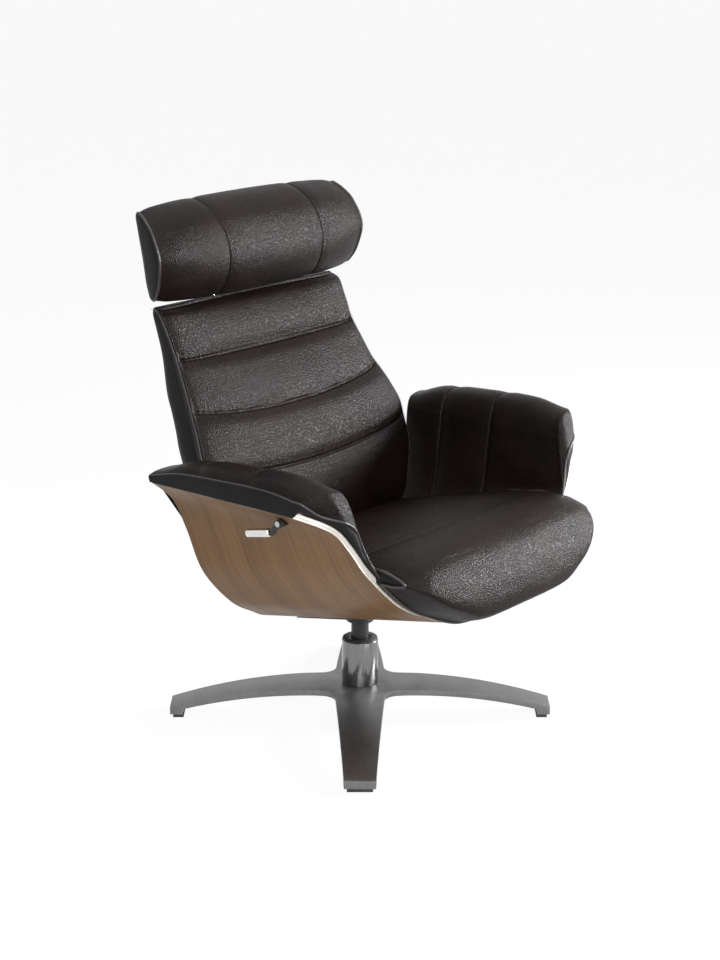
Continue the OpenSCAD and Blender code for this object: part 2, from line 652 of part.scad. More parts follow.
// Back
function back_at(b) = along(back_shares, b);
function back_edge(b) = back_foot + back_run * back_at(b)[1];
function back_rear(b) = back_foot + back_run * back_at(b)[2];
function back_z(b) = back_bottom + back_h * back_at(b)[0];
function parting(b) = mix(back_edge(b), back_rear(b), parting_share);
function groove(b, u, i) = let (d = (back_at(b)[0] - channel_shares[i] - channel_smile_shares[i] * u * u) * back_h / channel_d)
    channel_d * exp(-d * d / 2);
function back_face(b, u) =
    let (z = back_at(b)[0], soft = sqrt(max(0, 1 - pow(abs(u), 8))))
    back_edge(b) + edge_in * (1 - soft) - edge_out * soft + wing_d * (1 - u * u) * z
    - lumbar_d * (1 - u * u) * sin(180 * min(1, z * 1.4)) + soft * (groove(b, u, 0) + groove(b, u, 1) + groove(b, u, 2));
function back_ring(u, rows, front, rear) = concat(
    [for (i = [0:seam_rows]) let (b = i / seam_rows) [u * back_half_w * back_at(b)[3], rear(b, u), back_z(b)]],
    [for (i = [rows:-1:0]) let (b = i / rows) [u * back_half_w * back_at(b)[3], front(b, u), back_z(b)]]);
// Point of the seam between cushion and cover at a row, d behind it
function seam_at(r, d) =
    let (i = min(floor(r), seam_rows - 1), a = i / seam_rows, b = (i + 1) / seam_rows)
    mix([parting(a), back_z(a)], [parting(b), back_z(b)], r - i) + [d, 0];
module back_cushion() {
    color("#2b1d1a") centred() difference() {
        loft([for (i = [-back_cols:back_cols]) back_ring(sin(90 * i / back_cols), back_rows,
            function(b, u) min(back_face(b, u), parting(b) - 2 * gap), function(b, u) parting(b) - gap)]);
        guide_pockets();
    }
}
module back_cover() {
    color("#26211f") centred() difference() {
        loft([for (i = [-cover_cols:cover_cols]) back_ring(sin(90 * i / cover_cols), seam_rows,
            function(b, u) parting(b), function(b, u) back_rear(b))]);
        guide_pockets();
        layer(back_board_half + gap, board_rows, -over, over + board_t + 3 * gap, gap);
        layer(arm_x + gap, strap_rows, board_t, 2 * strap_t + small_head_h, 2 * gap);
        for (x = [arm_x, -arm_x - rail_t]) translate([x - gap, 0, 0]) arm_outline(rail_t + 2 * gap, gap);
    }
}
// Layer of even thickness on the seam, across the back from side to side
module layer(half, rows, front, thick, grow) {
    r = concat([rows[0]], [for (i = [floor(rows[0]) + 1:ceil(rows[1]) - 1]) i], [rows[1]]);
    n = len(r) - 1;
    up = function(i) [0, i == 0 ? -grow : i == n ? grow : 0];
    rotate([90, 0, 90]) translate([0, 0, -half]) linear_extrude(2 * half) polygon(concat(
        [for (i = [0:n]) seam_at(r[i], front) + up(i)], [for (i = [n:-1:0]) seam_at(r[i], front + thick) + up(i)]));
}
module at_back_screws() {
    r = (strap_rows[0] + strap_rows[1]) / 2;
    a = seam_at(strap_rows[0], 0);
    b = seam_at(strap_rows[1], 0);
    p = seam_at(r, gap + board_t + gap + strap_t);
    for (x = [-strap_screw_x, strap_screw_x]) translate([x, p[0], p[1]])
        rotate([90 - atan2(b[0] - a[0], b[1] - a[1]), 0, 0]) children();
}
module back_board() {
    color("#b89a6d") centred() difference() {
        layer(back_board_half, board_rows, gap, board_t, 0);
        at_back_screws() cylinder(d = small_d, h = board_t);
    }
}
module back_screws() {
    color("#9a9a9a") centred() at_back_screws() {
        translate([0, 0, -small_head_h]) cylinder(d = small_head_d, h = small_head_h);
        cylinder(d = small_d, h = board_t);
    }
}

// Frame that carries the back on the recline pins, with the crank for the gas spring
module arm_outline(t, grow) {
    rotate([90, 0, 90]) linear_extrude(t) polygon(concat([[hinge_y - ear_r, hinge_z]],
        [for (i = [0:arm_rows]) seam_at(i, board_t + 3 * gap - grow) + [0, i == arm_rows ? grow : 0]],
        [for (i = [arm_rows:-1:0]) seam_at(i, board_t + 3 * gap + arm_depth + grow) + [0, i == arm_rows ? grow : 0]],
        [[hinge_y + ear_r, hinge_z]]));
}
module on_hinge() { translate([0, hinge_y, hinge_z]) rotate([0, 90, 0]) children(); }
module at_crank_pin() { translate([-gas_x, crank_pin[0], crank_pin[1]]) rotate([0, 90, 0]) children(); }
module back_frame() {
    color("#2e2f31") centred() difference() {
        union() {
            for (x = [arm_x, -arm_x - rail_t]) translate([x, 0, 0]) {
                arm_outline(rail_t, 0);
                on_hinge() cylinder(r = ear_r, h = rail_t);
            }
            translate([-arm_x, 0, 0]) on_hinge() cylinder(d = tube_d, h = 2 * arm_x);
            layer(arm_x, strap_rows, gap + board_t + gap, strap_t, 0);
            for (x = [-gas_x - crank_t - screw_d, -gas_x + screw_d]) translate([x, hinge_y, hinge_z])
                rotate([crank_back, 0, 0]) rotate([90, 0, 90]) linear_extrude(crank_t) {
                    circle(d = tube_d + 2 * bush_wall);
                    translate([-crank_pin_d, -crank_len]) square([2 * crank_pin_d, crank_len]);
                    translate([0, -crank_len]) circle(crank_pin_d);
                }
        }
        for (x = [arm_x - gap, -arm_x - rail_t - over]) translate([x, 0, 0]) on_hinge()
            cylinder(d = pin_d + 2 * bush_wall, h = rail_t + over + gap);
        at_crank_pin() translate([0, 0, -2 * tube_d]) cylinder(d = crank_pin_d, h = 4 * tube_d);
        at_back_screws() translate([0, 0, -over]) cylinder(d = small_d, h = board_t);
    }
}
module gas_pin() {
    color("#8d8e90") centred() at_crank_pin() translate([0, 0, -screw_d - crank_t])
        cylinder(d = crank_pin_d, h = 2 * screw_d + 2 * crank_t);
}
module frame_bushes() {
    color("#d8d5cc") centred() for (m = [0, 1]) mirror([m, 0, 0]) translate([arm_x, 0, 0]) on_hinge() difference() {
        union() {
            cylinder(d = pin_d + 2 * bush_wall, h = rail_t + gap);
            translate([0, 0, rail_t]) cylinder(d = pin_d + 4 * bush_wall, h = rail_x - arm_x - rail_t - gap);
        }
        translate([0, 0, -over]) cylinder(r = pin_d / 2 + fit, h = rail_x);
    }
}
module recline_pins() {
    color("#9b9c9e") centred() for (m = [0, 1]) mirror([m, 0, 0]) on_hinge() {
        translate([0, 0, arm_x + gap]) cylinder(d = pin_d, h = rail_x + rail_t - arm_x - gap);
        translate([0, 0, rail_x + rail_t]) cylinder(d = pin_d + screw_d, h = bush_wall);
    }
}

// Gas spring from the cross bar to the crank
module on_gas() { translate([-gas_x, -crossbar_y, crossbar_z]) rotate([gas_angle - 90, 0, 0]) children(); }
module gas_cylinder() {
    color("#202124") centred() on_gas() difference() {
        union() {
            translate([0, 0, crossbar_d]) cylinder(d = gas_d, h = gas_len);
            cylinder(d = crossbar_d, h = crossbar_d + over);
            translate([-screw_d, 0, 0]) rotate([0, 90, 0]) cylinder(d = crossbar_d + 2 * rail_t, h = 2 * screw_d);
        }
        translate([-gas_d, 0, 0]) rotate([0, 90, 0]) cylinder(r = crossbar_d / 2 + fit, h = 2 * gas_d);
        translate([0, 0, crossbar_d + gas_len - gas_bore]) cylinder(r = rod_d / 2 + fit, h = gas_bore + over);
    }
}
module gas_rod() {
    color("#c9cacc") centred() on_gas() difference() {
        union() {
            translate([0, 0, gas_span - crank_pin_d - rod_len]) cylinder(d = rod_d, h = rod_len);
            translate([over - screw_d, 0, gas_span]) rotate([0, 90, 0])
                cylinder(r = crank_pin_d + open_play, h = 2 * screw_d - 2 * over);
        }
        translate([-gas_d, 0, gas_span]) rotate([0, 90, 0]) cylinder(r = crank_pin_d / 2 + open_play, h = 2 * gas_d);
    }
}

// Release lever
module on_lever() { translate([0, -lever_y, lever_z]) children(); }
module lever_bush() {
    color("#1a1a1a") centred() on_lever() translate([-lever_bush_x, 0, 0]) rotate([0, 90, 0]) difference() {
        union() {
            cylinder(d = lever_bush_d, h = lever_bush_len);
            translate([0, 0, -bush_wall]) cylinder(d = lever_bush_d + bush_wall, h = 2 * bush_wall);
        }
        translate([0, 0, -bush_wall - over]) cylinder(r = shaft_d / 2 + fit, h = 2 * lever_bush_len);
    }
}
module lever_shaft() {
    color("#6f7072") centred() on_lever() translate([-lever_out - lever_plate_t / 2, 0, 0]) rotate([0, 90, 0])
        cylinder(d = shaft_d, h = lever_out - cam_x + lever_plate_t * 1.5);
}
module lever_bracket() {
    color("#151515") centred() on_lever() translate([-lever_out, 0, 0]) difference() {
        union() {
            rotate([90, 0, 90]) translate([0, 0, -lever_plate_t / 2]) linear_extrude(lever_plate_t) {
                circle(d = lever_bush_d);
                rotate(atan2(-lever_fall, lever_reach)) translate([0, -shaft_d / 2]) square([norm([lever_fall, lever_reach]), shaft_d]);
                translate([lever_reach, -lever_fall]) circle(d = shaft_d);
            }
            translate([0, lever_reach, -lever_fall]) rotate([-90 - grip_slope, 0, 0]) cylinder(d = shaft_d / 2, h = 2 * shaft_d);
        }
        translate([-lever_plate_t, 0, 0]) rotate([0, 90, 0]) cylinder(d = shaft_d, h = 2 * lever_plate_t);
    }
}
module lever_grip() {
    color("#c8c9cb") centred() on_lever() translate([-lever_out, lever_reach, -lever_fall]) rotate([-90 - grip_slope, 0, 0]) difference() {
        translate([0, 0, shaft_d / 2]) cylinder(d = grip_d, h = grip_len);
        cylinder(d = shaft_d / 2, h = 2 * shaft_d);
    }
}
module release_cam() {
    color("#77787a") centred() on_lever() translate([-cam_x, 0, 0]) difference() {
        rotate([90, 0, 90]) linear_extrude(lever_plate_t) {
            circle(d = lever_bush_d);
            translate([0, -shaft_d / 2]) square([2 * shaft_d, shaft_d]);
        }
        translate([-lever_plate_t, 0, 0]) rotate([0, 90, 0]) cylinder(d = shaft_d, h = 3 * lever_plate_t);
    }
}
module lever_spring() {
    r = shaft_d / 2 + wire_d;
    turns = coil_turns * coil_steps;
    color("#b0b0b0") centred() on_lever() translate([-cam_x - coil_turns * coil_pitch - wire_d, 0, 0])
        loft([for (i = [0:turns]) let (a = 360 * i / coil_steps, out = [0, cos(a), sin(a)],
            p = [coil_pitch * i / coil_steps, 0, 0] + r * out)
            [for (k = [0:60:300]) p + wire_d / 2 * (cos(k) * [1, 0, 0] + sin(k) * out)]]);
}

// Release cable: from the cam, down the shell's inner face and under the seat to the gas spring
cable_tip = [-gas_x, -crossbar_y + 2 * crossbar_d, crossbar_z + 2 * crossbar_d * tan(gas_angle) - gas_d / 2 - cable_d / 2 - 3 * gap];
cable_head = [-cam_x + lever_plate_t / 2, -lever_y + 2 * shaft_d, lever_z - shaft_d];
cable_cross = shell_in(-4 / 9, cable_s, ply_t + cable_off);
cable_route = concat([cable_head, cable_head + [cable_drop / 2, 0, -cable_drop]],
    [for (t = [-0.77:0.07:-0.27]) shell_in(t, cable_s, ply_t + cable_off)],
    [cable_tip - [2 * cable_drop, 0, 2 * cable_drop - cable_d], cable_tip - [cable_d, 0, cable_drop], cable_tip]);
function tube_ring(p, i, r, sides) =
    let (a = p[max(0, i - 1)], b = p[min(len(p) - 1, i + 1)], t = (b - a) / norm(b - a),
         side = cross(t, [0, 1, 0]), n = side / norm(side), w = cross(t, n))
    [for (k = [0:sides - 1]) p[i] + r * (cos(360 * k / sides) * n + sin(360 * k / sides) * w)];
module cable(r, sides) { loft([for (i = [0:len(cable_route) - 1]) tube_ring(cable_route, i, r, sides)]); }
module release_cable() { color("#101010") centred() cable(cable_d / 2, 10); }

// Headrest bars, guides and tilt
module on_bars() {
    for (x = [-bar_half, bar_half]) translate([x, bar_y, back_top]) rotate([-bar_lean, 0, 0]) children();
}
module guide_box(grow) {
    translate([-bar_w / 2 - guide_wall - grow, -bar_t / 2 - guide_wall - grow, -guide_top - guide_len - grow])
        cube([bar_w + 2 * guide_wall + 2 * grow, bar_t + 2 * guide_wall + 2 * grow, guide_len + 2 * grow]);
}
module bar_box(grow, low, high) {
    translate([-bar_w / 2 - grow, -bar_t / 2 - grow, low]) cube([bar_w + 2 * grow, bar_t + 2 * grow, high - low]);
}
module guide_pockets() {
    on_bars() {
        guide_box(gap);
        bar_box(2 * gap, -bar_in - over, bar_in);
    }
}
module bar_guides() {
    color("#202020") centred() on_bars() difference() {
        guide_box(0);
        bar_box(fit, -bar_in, bar_in);
    }
}
module headrest_bars() {
    d = [sin(bar_lean), cos(bar_lean)];
    side = bar_t / 2 * [cos(bar_lean), -sin(bar_lean)];
    foot = [bar_y, back_top] - bar_in * d;
    half = bar_t / 2 / cos(bar_lean);
    color("#8d8e90") centred() {
        for (x = [-bar_half, bar_half]) translate([x - bar_w / 2, 0, 0]) rotate([90, 0, 90]) linear_extrude(bar_w)
            polygon([foot - side, foot + side, [bar_y + half, back_top], [tilt_y + half, tilt_z],
                [tilt_y - half, tilt_z], [bar_y - half, back_top]]);
        translate([-bar_half - bar_w, tilt_y, tilt_z]) rotate([0, 90, 0]) cylinder(d = tilt_d, h = 2 * bar_half + 2 * bar_w);
    }
}
module at_clamps() { for (x = [-clamp_x, clamp_x]) translate([x, tilt_y, tilt_z]) children(); }
module at_clamp_screws() {
    at_clamps() for (z = [-clamp_screw_z, clamp_screw_z])
        translate([0, head_board_y + clamp_foot_t - tilt_y, z]) rotate([90, 0, 0]) children();
}
module headrest_clamps() {
    color("#333435") centred() difference() {
        at_clamps() {
            translate([-clamp_w / 2, 0, 0]) rotate([0, 90, 0]) cylinder(r = clamp_r, h = clamp_w);
            translate([-clamp_w / 2, head_board_y - tilt_y, -clamp_r]) cube([clamp_w, tilt_y - head_board_y, 2 * clamp_r]);
            translate([-clamp_w / 2, head_board_y - tilt_y, -clamp_base]) cube([clamp_w, clamp_foot_t, 2 * clamp_base]);
        }
        at_clamps() translate([-clamp_w, 0, 0]) rotate([0, 90, 0]) cylinder(r = tilt_d / 2 + fit, h = 2 * clamp_w);
        at_clamp_screws() translate([0, 0, -over]) cylinder(d = small_d, h = clamp_base);
    }
}
module clamp_screws() {
    color("#9a9a9a") centred() at_clamp_screws() {
        translate([0, 0, -small_head_h]) cylinder(d = small_head_d, h = small_head_h);
        cylinder(d = small_d, h = board_t);
    }
}
module headrest_board() {
    color("#b89a6d") centred() difference() {
        translate([-head_board_half, head_board_y - board_t, tilt_z - head_board_h / 2])
            cube([2 * head_board_half, board_t, head_board_h]);
        at_clamp_screws() cylinder(d = small_d, h = board_t);
    }
}
function head_ring(u) = let (e = pow(abs(u), 3))
    [for (i = [0:head_steps - 1]) let (f = i / head_steps, c = mix(along(head_mid_shares, f), along(head_end_shares, f), e))
        [u * head_half_w * (1 - head_taper_share * c[0]), head_nose + head_depth * c[0], head_low + head_h * c[1]]];
// Room for the bars as the pillow tilts, open at the back and the bottom
module bar_slots() {
    lean = (tilt_z - back_top) * tan(tilt_range);
    for (x = [-bar_half, bar_half]) translate([x - bar_w / 2 - gap, 0, 0]) rotate([90, 0, 90]) linear_extrude(bar_w + 2 * gap)
        polygon([[tilt_y - clamp_r, tilt_z + clamp_r], [tilt_y - clamp_r, tilt_z], [bar_y - bar_t - lean, back_top],
            [tilt_y + 2 * tab_w, back_top], [tilt_y + 2 * tab_w, tilt_z + clamp_r]]);
}
module headrest_cushion() {
    color("#2b1d1a") centred() difference() {
        loft([for (i = [-head_cols:head_cols]) head_ring(sin(90 * i / head_cols))]);
        translate([-head_board_half - gap, head_board_y - board_t - gap, tilt_z - head_board_h / 2 - gap])
            cube([2 * head_board_half + 2 * gap, board_t + 2 * gap, head_board_h + 2 * gap]);
        at_clamps() translate([-clamp_w / 2 - gap, head_board_y - tilt_y - over, -clamp_base - gap])
            cube([clamp_w + 2 * gap, tilt_y - head_board_y + over + clamp_r + gap, 2 * clamp_base + 2 * gap]);
        bar_slots();
        translate([-bar_half - bar_w - gap, tilt_y, tilt_z]) rotate([0, 90, 0])
            cylinder(d = tilt_d + 4 * gap, h = 2 * bar_half + 2 * bar_w + 2 * gap, $fn = 24);
    }
}

base_star();
foot_pads();
foot_screws();
column_tube();
column_cap();
column_bolts();
upper_bush();
lower_bush();
thrust_bearing();
spindle();
mount_plate();
plate_bolts();
tee_nuts();
shell();
seat_board();
seat_cushion();
arm_pad_right();
arm_pad_left();
rail_right();
rail_left();
rail_screws();
board_screws();
cross_bar();
recline_pins();
lever_bush();
lever_shaft();
lever_bracket();
lever_grip();
lever_spring();
release_cam();
release_cable();
gas_cylinder();
gas_rod();
back_frame();
frame_bushes();
gas_pin();
back_screws();
back_board();
back_cushion();
back_cover();
bar_guides();
headrest_bars();
headrest_clamps();
clamp_screws();
headrest_board();
headrest_cushion();
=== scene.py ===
"""Star base swivel recliner: the leather, veneer and metal round its CAD frame.

Every shape is worked out in millimetres from the swivel axis, with the floor at 0, the sitter's front at -Y
and the sitter's right at -X, and is set back and turned to metres when its mesh is made.
"""

import json
import math

import bmesh
import bpy
import numpy as np
from bpy.props import FloatProperty, FloatVectorProperty, PointerProperty
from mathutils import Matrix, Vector

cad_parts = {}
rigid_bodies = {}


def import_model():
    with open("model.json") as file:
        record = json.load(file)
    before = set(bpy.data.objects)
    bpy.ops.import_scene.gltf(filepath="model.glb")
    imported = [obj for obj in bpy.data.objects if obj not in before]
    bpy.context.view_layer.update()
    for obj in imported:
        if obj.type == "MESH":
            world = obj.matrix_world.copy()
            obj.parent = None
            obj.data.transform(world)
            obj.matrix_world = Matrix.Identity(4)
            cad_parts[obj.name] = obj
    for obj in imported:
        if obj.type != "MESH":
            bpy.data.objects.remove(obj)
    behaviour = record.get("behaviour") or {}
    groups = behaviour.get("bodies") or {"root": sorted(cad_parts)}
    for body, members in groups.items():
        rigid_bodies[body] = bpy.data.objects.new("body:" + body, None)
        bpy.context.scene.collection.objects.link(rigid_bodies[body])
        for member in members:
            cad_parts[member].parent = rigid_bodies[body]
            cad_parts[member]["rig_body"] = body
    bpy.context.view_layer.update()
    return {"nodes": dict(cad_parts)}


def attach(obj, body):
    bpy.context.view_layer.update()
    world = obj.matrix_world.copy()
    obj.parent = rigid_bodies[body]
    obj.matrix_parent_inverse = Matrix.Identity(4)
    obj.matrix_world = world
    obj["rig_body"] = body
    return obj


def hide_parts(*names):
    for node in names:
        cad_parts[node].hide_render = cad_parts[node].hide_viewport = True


bl_info = {
    "name": "Star base swivel recliner",
    "version": (1, 0, 0),
    "blender": (4, 5, 0),
    "location": "3D View > Sidebar > Recliner",
    "description": "Leather, veneer and metal for a swivel recliner",
    "category": "Add Mesh",
}

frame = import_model()

MM = 0.001
SET_BACK = 40.0
SIDES = ((-1, "right"), (1, "left"))

# Shell: x, height, rise, back edge, front edge, from the middle to the lip
SHELL = [[0, 0, 1, 1, 1], [0.15, 0, 1, 1, 0.985], [0.28, 0.004, 1, 1, 0.96], [0.35, 0.022, 1, 1, 0.93],
         [0.42, 0.066, 1, 1, 0.88], [0.575, 0.185, 1, 1, 0.83], [0.75, 0.425, 0.93, 1.01, 0.79],
         [0.84, 0.70, 0.45, 1.04, 0.76], [0.905, 0.887, 0.13, 1.10, 0.705], [1, 1, -0.05, 1.20, 0.54]]
SHELL_HALF_W, SHELL_H, SHELL_BOTTOM, SHELL_BACK, SHELL_FRONT, SHELL_RISE, PLY_T = 397, 318, 203, 120, 322, 86, 12
PLY_ROUND, PLY_ANGLE = 0.8, 40

# Seat: set-back and height shares round the front, from the top at the back
SEAT = [[1, 0.47], [0.93, 0.52], [0.817, 0.61], [0.604, 0.775], [0.391, 0.93], [0.243, 1], [0.148, 0.97],
        [0.08, 0.86], [0.036, 0.67], [0.011, 0.47], [0, 0.29], [0.012, 0.11], [0.045, 0.02]]
SEAT_HALF_W, SEAT_TOP, SEAT_NOSE, SEAT_REAR, SEAT_LOW = 277, 440, 384, 73, 301
SEAT_ROUND, SEAT_CORNER, SEAT_CROWN, SEAT_EDGE = 30, 34, 9, 14
SEAT_SEAM_V, SEAT_SEAM_Y, SEAT_SEAM_BOW, SEAT_GAP = 0.335, -238, 0.00045, 1.2
SEAT_LIP, SEAT_DROP, SEAT_LIFT, SEAT_TURN_V, SEAT_TURN_E = 9, 10, 6, 0.87, 0.06
BOARD_REAR_Y, BOARD_FRONT_Y, BOARD_REAR_Z, BOARD_RISE, BOARD_T = 56, -290, 300, 45, 12.4

# Arm pad: across, up (0 foot, 1 lip, 2 crown), front edge, back edge, from the lip over the crown to the foot
PAD = [[1.003, 1.02, 0.55, 1.22], [1.003, 1.5, 0.57, 1.24], [0.985, 1.72, 0.595, 1.23], [0.957, 1.90, 0.625, 1.20],
       [0.912, 1.99, 0.67, 1.17], [0.87, 2, 0.68, 1.14], [0.826, 1.87, 0.69, 1.11], [0.797, 1.5, 0.70, 1.08],
       [0.78, 1, 0.715, 1.05], [0.766, 0.7, 0.735, 1.03], [0.75, 0.4, 0.755, 1.02], [0.733, 0.15, 0.775, 1],
       [0.692, -0.06, 0.80, 0.99]]
PAD_CROWN = [[0.42], [0.80], [0.96], [1.03], [1.09], [1.06], [0.84]]
PAD_CROWN_H, PAD_RIM, PAD_CAP, PAD_NOSE, PAD_TAIL, PAD_HID_FROM, PAD_UP_Z = 51, 0.13, 5, 12, 5, 0.62, 500
ARM_SEAMS = (45, -72)

# Back: height, front face, back face, half width
BACK = [[0, 0, 0.40, 0.86], [0.078, 0, 0.46, 0.93], [0.20, 0.03, 0.56, 0.98], [0.30, 0.075, 0.66, 1],
        [0.435, 0.185, 0.80, 1], [0.52, 0.30, 0.90, 0.97], [0.59, 0.42, 1, 0.94], [0.663, 0.55, 1.12, 0.905],
        [0.806, 0.76, 1.20, 0.87], [0.906, 0.885, 1.24, 0.87], [0.98, 0.99, 1.25, 0.875], [1, 1.10, 1.18, 0.86]]
BACK_FOOT, BACK_RUN, BACK_BOTTOM, BACK_H, BACK_HALF_W = 90, 160, 346, 439, 285
BACK_SEAMS = ((0.335, 0.05), (0.57, 0.05), (0.80, 0.01))
BACK_TUCK, BACK_EDGE_IN, BACK_AHEAD, BACK_HOLLOW, BACK_LOIN = 0.985, 8, 11, 16, 9
WELT_BACK, WELT_R, PAD_WELT_R, HEAD_WELT_R, WELT_STEP, WELT_STITCH = 11, 2.6, 2.3, 2.4, 3, 6.5

# Headrest: nose to back and bottom to top, at the middle and at the ends
HEAD_MID = [[0.78, 0.02], [0.95, 0.15], [0.98, 0.45], [1, 0.78], [0.98, 0.93], [0.84, 1], [0.52, 0.945],
            [0.2, 0.79], [0, 0.53], [0.01, 0.29], [0.18, 0.08], [0.42, 0], [0.78, 0.02]]
HEAD_END = [[0.62, 0.06], [0.69, 0.2], [0.75, 0.47], [0.86, 0.78], [0.90, 0.90], [0.83, 0.94], [0.6, 0.85],
            [0.43, 0.73], [0.26, 0.49], [0.34, 0.22], [0.46, 0.08], [0.54, 0.04], [0.62, 0.06]]
HEAD_HALF_W, HEAD_H, HEAD_DEPTH, HEAD_LOW, HEAD_NOSE = 292, 178, 112, 797, 192
HEAD_TAPER, HEAD_DRAW, HEAD_ROUND, HEAD_SEAM_X, HEAD_CAP = 0.10, 0.03, 0.05, 130, 8
HEAD_FREE, HEAD_ROUND_FROM, HEAD_ROUND_POWER = (0.40, 0.93), 0.86, 2.2

# Each skin's coarse grid, which is filled, and its fine one, which is shown: along, round and hidden
SEAT_COARSE, SEAT_FINE, PAD_COARSE, PAD_FINE = (61, 60, 16), (260, 240, 24), (70, 46, 12), (230, 150, 20)
BACK_COARSE, BACK_FINE, HEAD_COARSE, HEAD_FINE = (74, 53), (330, 220), (61, 64), (260, 181)
# Its filling: pressure, longest move in millimetres and rounds of evening out
SEAT_FILL, PAD_FILL, BACK_FILL, HEAD_FILL, CLOTH_FRAMES = (3.0, 7, 16), (3.0, 5, 5), (4.0, 10, 6), (3.0, 5, 4), 20
# Its seams: depth, width, soft depth and reach of the dip, and height and pitch of the puckers
SEAT_DIP, SEAT_SIDE_DIP, SEAT_PUCKER = (1.5, 1.8, 1.6, 14), (1.2, 2.5, 0.8, 8), (0.35, 9)
PAD_DIP, PAD_RIM_DIP, PAD_PUCKER = (1.9, 1.9, 2.2, 15), (2.2, 3.0, 0.6, 10), (0.3, 10)
BACK_DIP, BACK_PUCKER, HEAD_DIP, HEAD_PUCKER = (3.2, 2.4, 5.5, 15), (0.55, 12), (1.7, 1.8, 1.6, 13), (0.3, 10)
# Its slow and fine ripples, depth and length; the headrest has the back's
SEAT_WAVES, PAD_WAVES = ((-0.4, 95), (-0.15, 34)), ((-0.35, 80), (-0.12, 28))
BACK_WAVES, COVER_WAVES = ((-0.3, 90), (-0.12, 30)), ((-1.2, 160),)
# Columns of the coarse seat and pad that are held: before the first number, from the last, and rising to it
SEAT_HELD, PAD_HELD = (2, 44, 56), (7, 42)
# Powers that square the cover's section, and the pad's gap to the shell, end beside it and length over its crown
COVER_SIDE, COVER_REAR, PAD_GAP, PAD_HID_TO, PAD_GIRTH = 0.34, 0.42, 0.4, 0.99, 420

# Edges of the CAD pieces that are rounded: width in millimetres and segments
ROUND_ANGLE = 28
ROUNDED = {"base_star": (1.4, 3), "column_tube": (1.0, 2), "column_cap": (0.8, 2), "mount_plate": (0.8, 2),
           "plate_bolts": (0.6, 1), "foot_pads": (0.8, 1), "lever_bracket": (0.7, 2), "lever_grip": (3.6, 4),
           "lever_bush": (0.5, 1), "back_frame": (0.6, 1), "rail_right": (0.5, 1), "rail_left": (0.5, 1),
           "headrest_bars": (0.6, 1), "bar_guides": (0.6, 1), "gas_cylinder": (0.8, 2)}
SOFT_NODES = {"shell", "seat_cushion", "arm_pad_right", "arm_pad_left", "back_cushion", "back_cover",
              "headrest_cushion"}
FINISHED = {
    "cast_base": "base_star", "polished_steel": "column_tube", "rubber": "foot_pads", "bush_plastic": "frame_bushes",
    "bright_steel": "lever_grip gas_rod headrest_bars", "birch_ply": "seat_board back_board headrest_board",
    "zinc_steel": "foot_screws column_bolts thrust_bearing tee_nuts rail_screws board_screws recline_pins "
                  "lever_shaft lever_spring release_cam gas_pin back_screws clamp_screws",
    "black_steel": "spindle mount_plate plate_bolts rail_right rail_left cross_bar lever_bracket gas_cylinder "
                   "back_frame headrest_clamps",
    "black_plastic": "column_cap upper_bush lower_bush lever_bush release_cable bar_guides"}
NODE_FINISH = {node: finish for finish, nodes in FINISHED.items() for node in nodes.split()}

# Stage, in metres, degrees and watts: each lamp's place, target, sides and power
CAMERA_PLACE, CAMERA_TURN, CAMERA_LENS = (-2.7254, -2.1513, 1.4713), (73.908, 0.0, -51.2), 73.945
LAMPS = (("window soft box", (2.5, -1.9, 1.35), (0, 0.1, 0.6), (0.8, 1.2), 285),
         ("front soft box", (-2.4, -2.7, 2.5), (0, 0, 0.45), (1.8, 1.8), 172),
         ("low front soft box", (-0.9, -3.3, 0.9), (0, -0.2, 0.5), (0.5, 1.1), 22),
         ("top soft box", (-0.2, 0.1, 3.3), (0, 0, 0.4), (1.6, 1.6), 40))
FLOOR_SIDE, FLOOR_GLOW, WORLD_FILL = 90000, 0.93, 0.2


# Shapes as arrays

def along(table, t):
    """Smooth curve through the rows of a table, first row at t 0 and last at 1: each span is the cubic
    (2b + (c-a)f + (2a-5b+4c-d)ff + (3b-a-3c+d)fff) / 2 of the rows a, b, c, d round it."""
    p = np.asarray(table, float)
    n = len(p) - 1
    s = np.clip(np.asarray(t, float), 0, 1) * n
    i = np.minimum(s.astype(int), n - 1)
    f = (s - i)[(...,) + (None,) * (p.ndim - 1)]
    a, b, c, d = p[np.maximum(i - 1, 0)], p[i], p[i + 1], p[np.minimum(i + 2, n)]
    return (2 * b + (c - a) * f + (2 * a - 5 * b + 4 * c - d) * f ** 2 + (3 * b - a - 3 * c + d) * f ** 3) / 2


def mix(a, b, t):
    """a + (b - a) t."""
    return a + (b - a) * t


def packed(count, low, high, centres, width, pull=3.0):
    """count values from low to high whose spacing is pull + 1 times closer within width of each centre: the
    running sum of 1 + pull * sum(exp(-((x - c) / width) ** 2)), turned round."""
    x = np.linspace(low, high, 4000)
    rate = 1 + pull * sum(np.exp(-((x - c) / width) ** 2) for c in centres) + 0 * x
    total = np.concatenate([[0], np.cumsum((rate[1:] + rate[:-1]) / 2)])
    return np.interp(np.linspace(0, total[-1], count), total, x)


def unit(v):
    """v over its own length."""
    return v / np.maximum(np.linalg.norm(v, axis=-1, keepdims=True), 1e-9)


def facing(p, wrap):
    """Unit normal of a grid of points: the cross product of its steps along the rows and round them."""
    along_rows = np.gradient(p, axis=0)
    if wrap:
        across = (np.roll(p, -1, 1) - np.roll(p, 1, 1)) / 2
    else:
        across = np.gradient(p, axis=1)
    return unit(np.cross(across, along_rows))


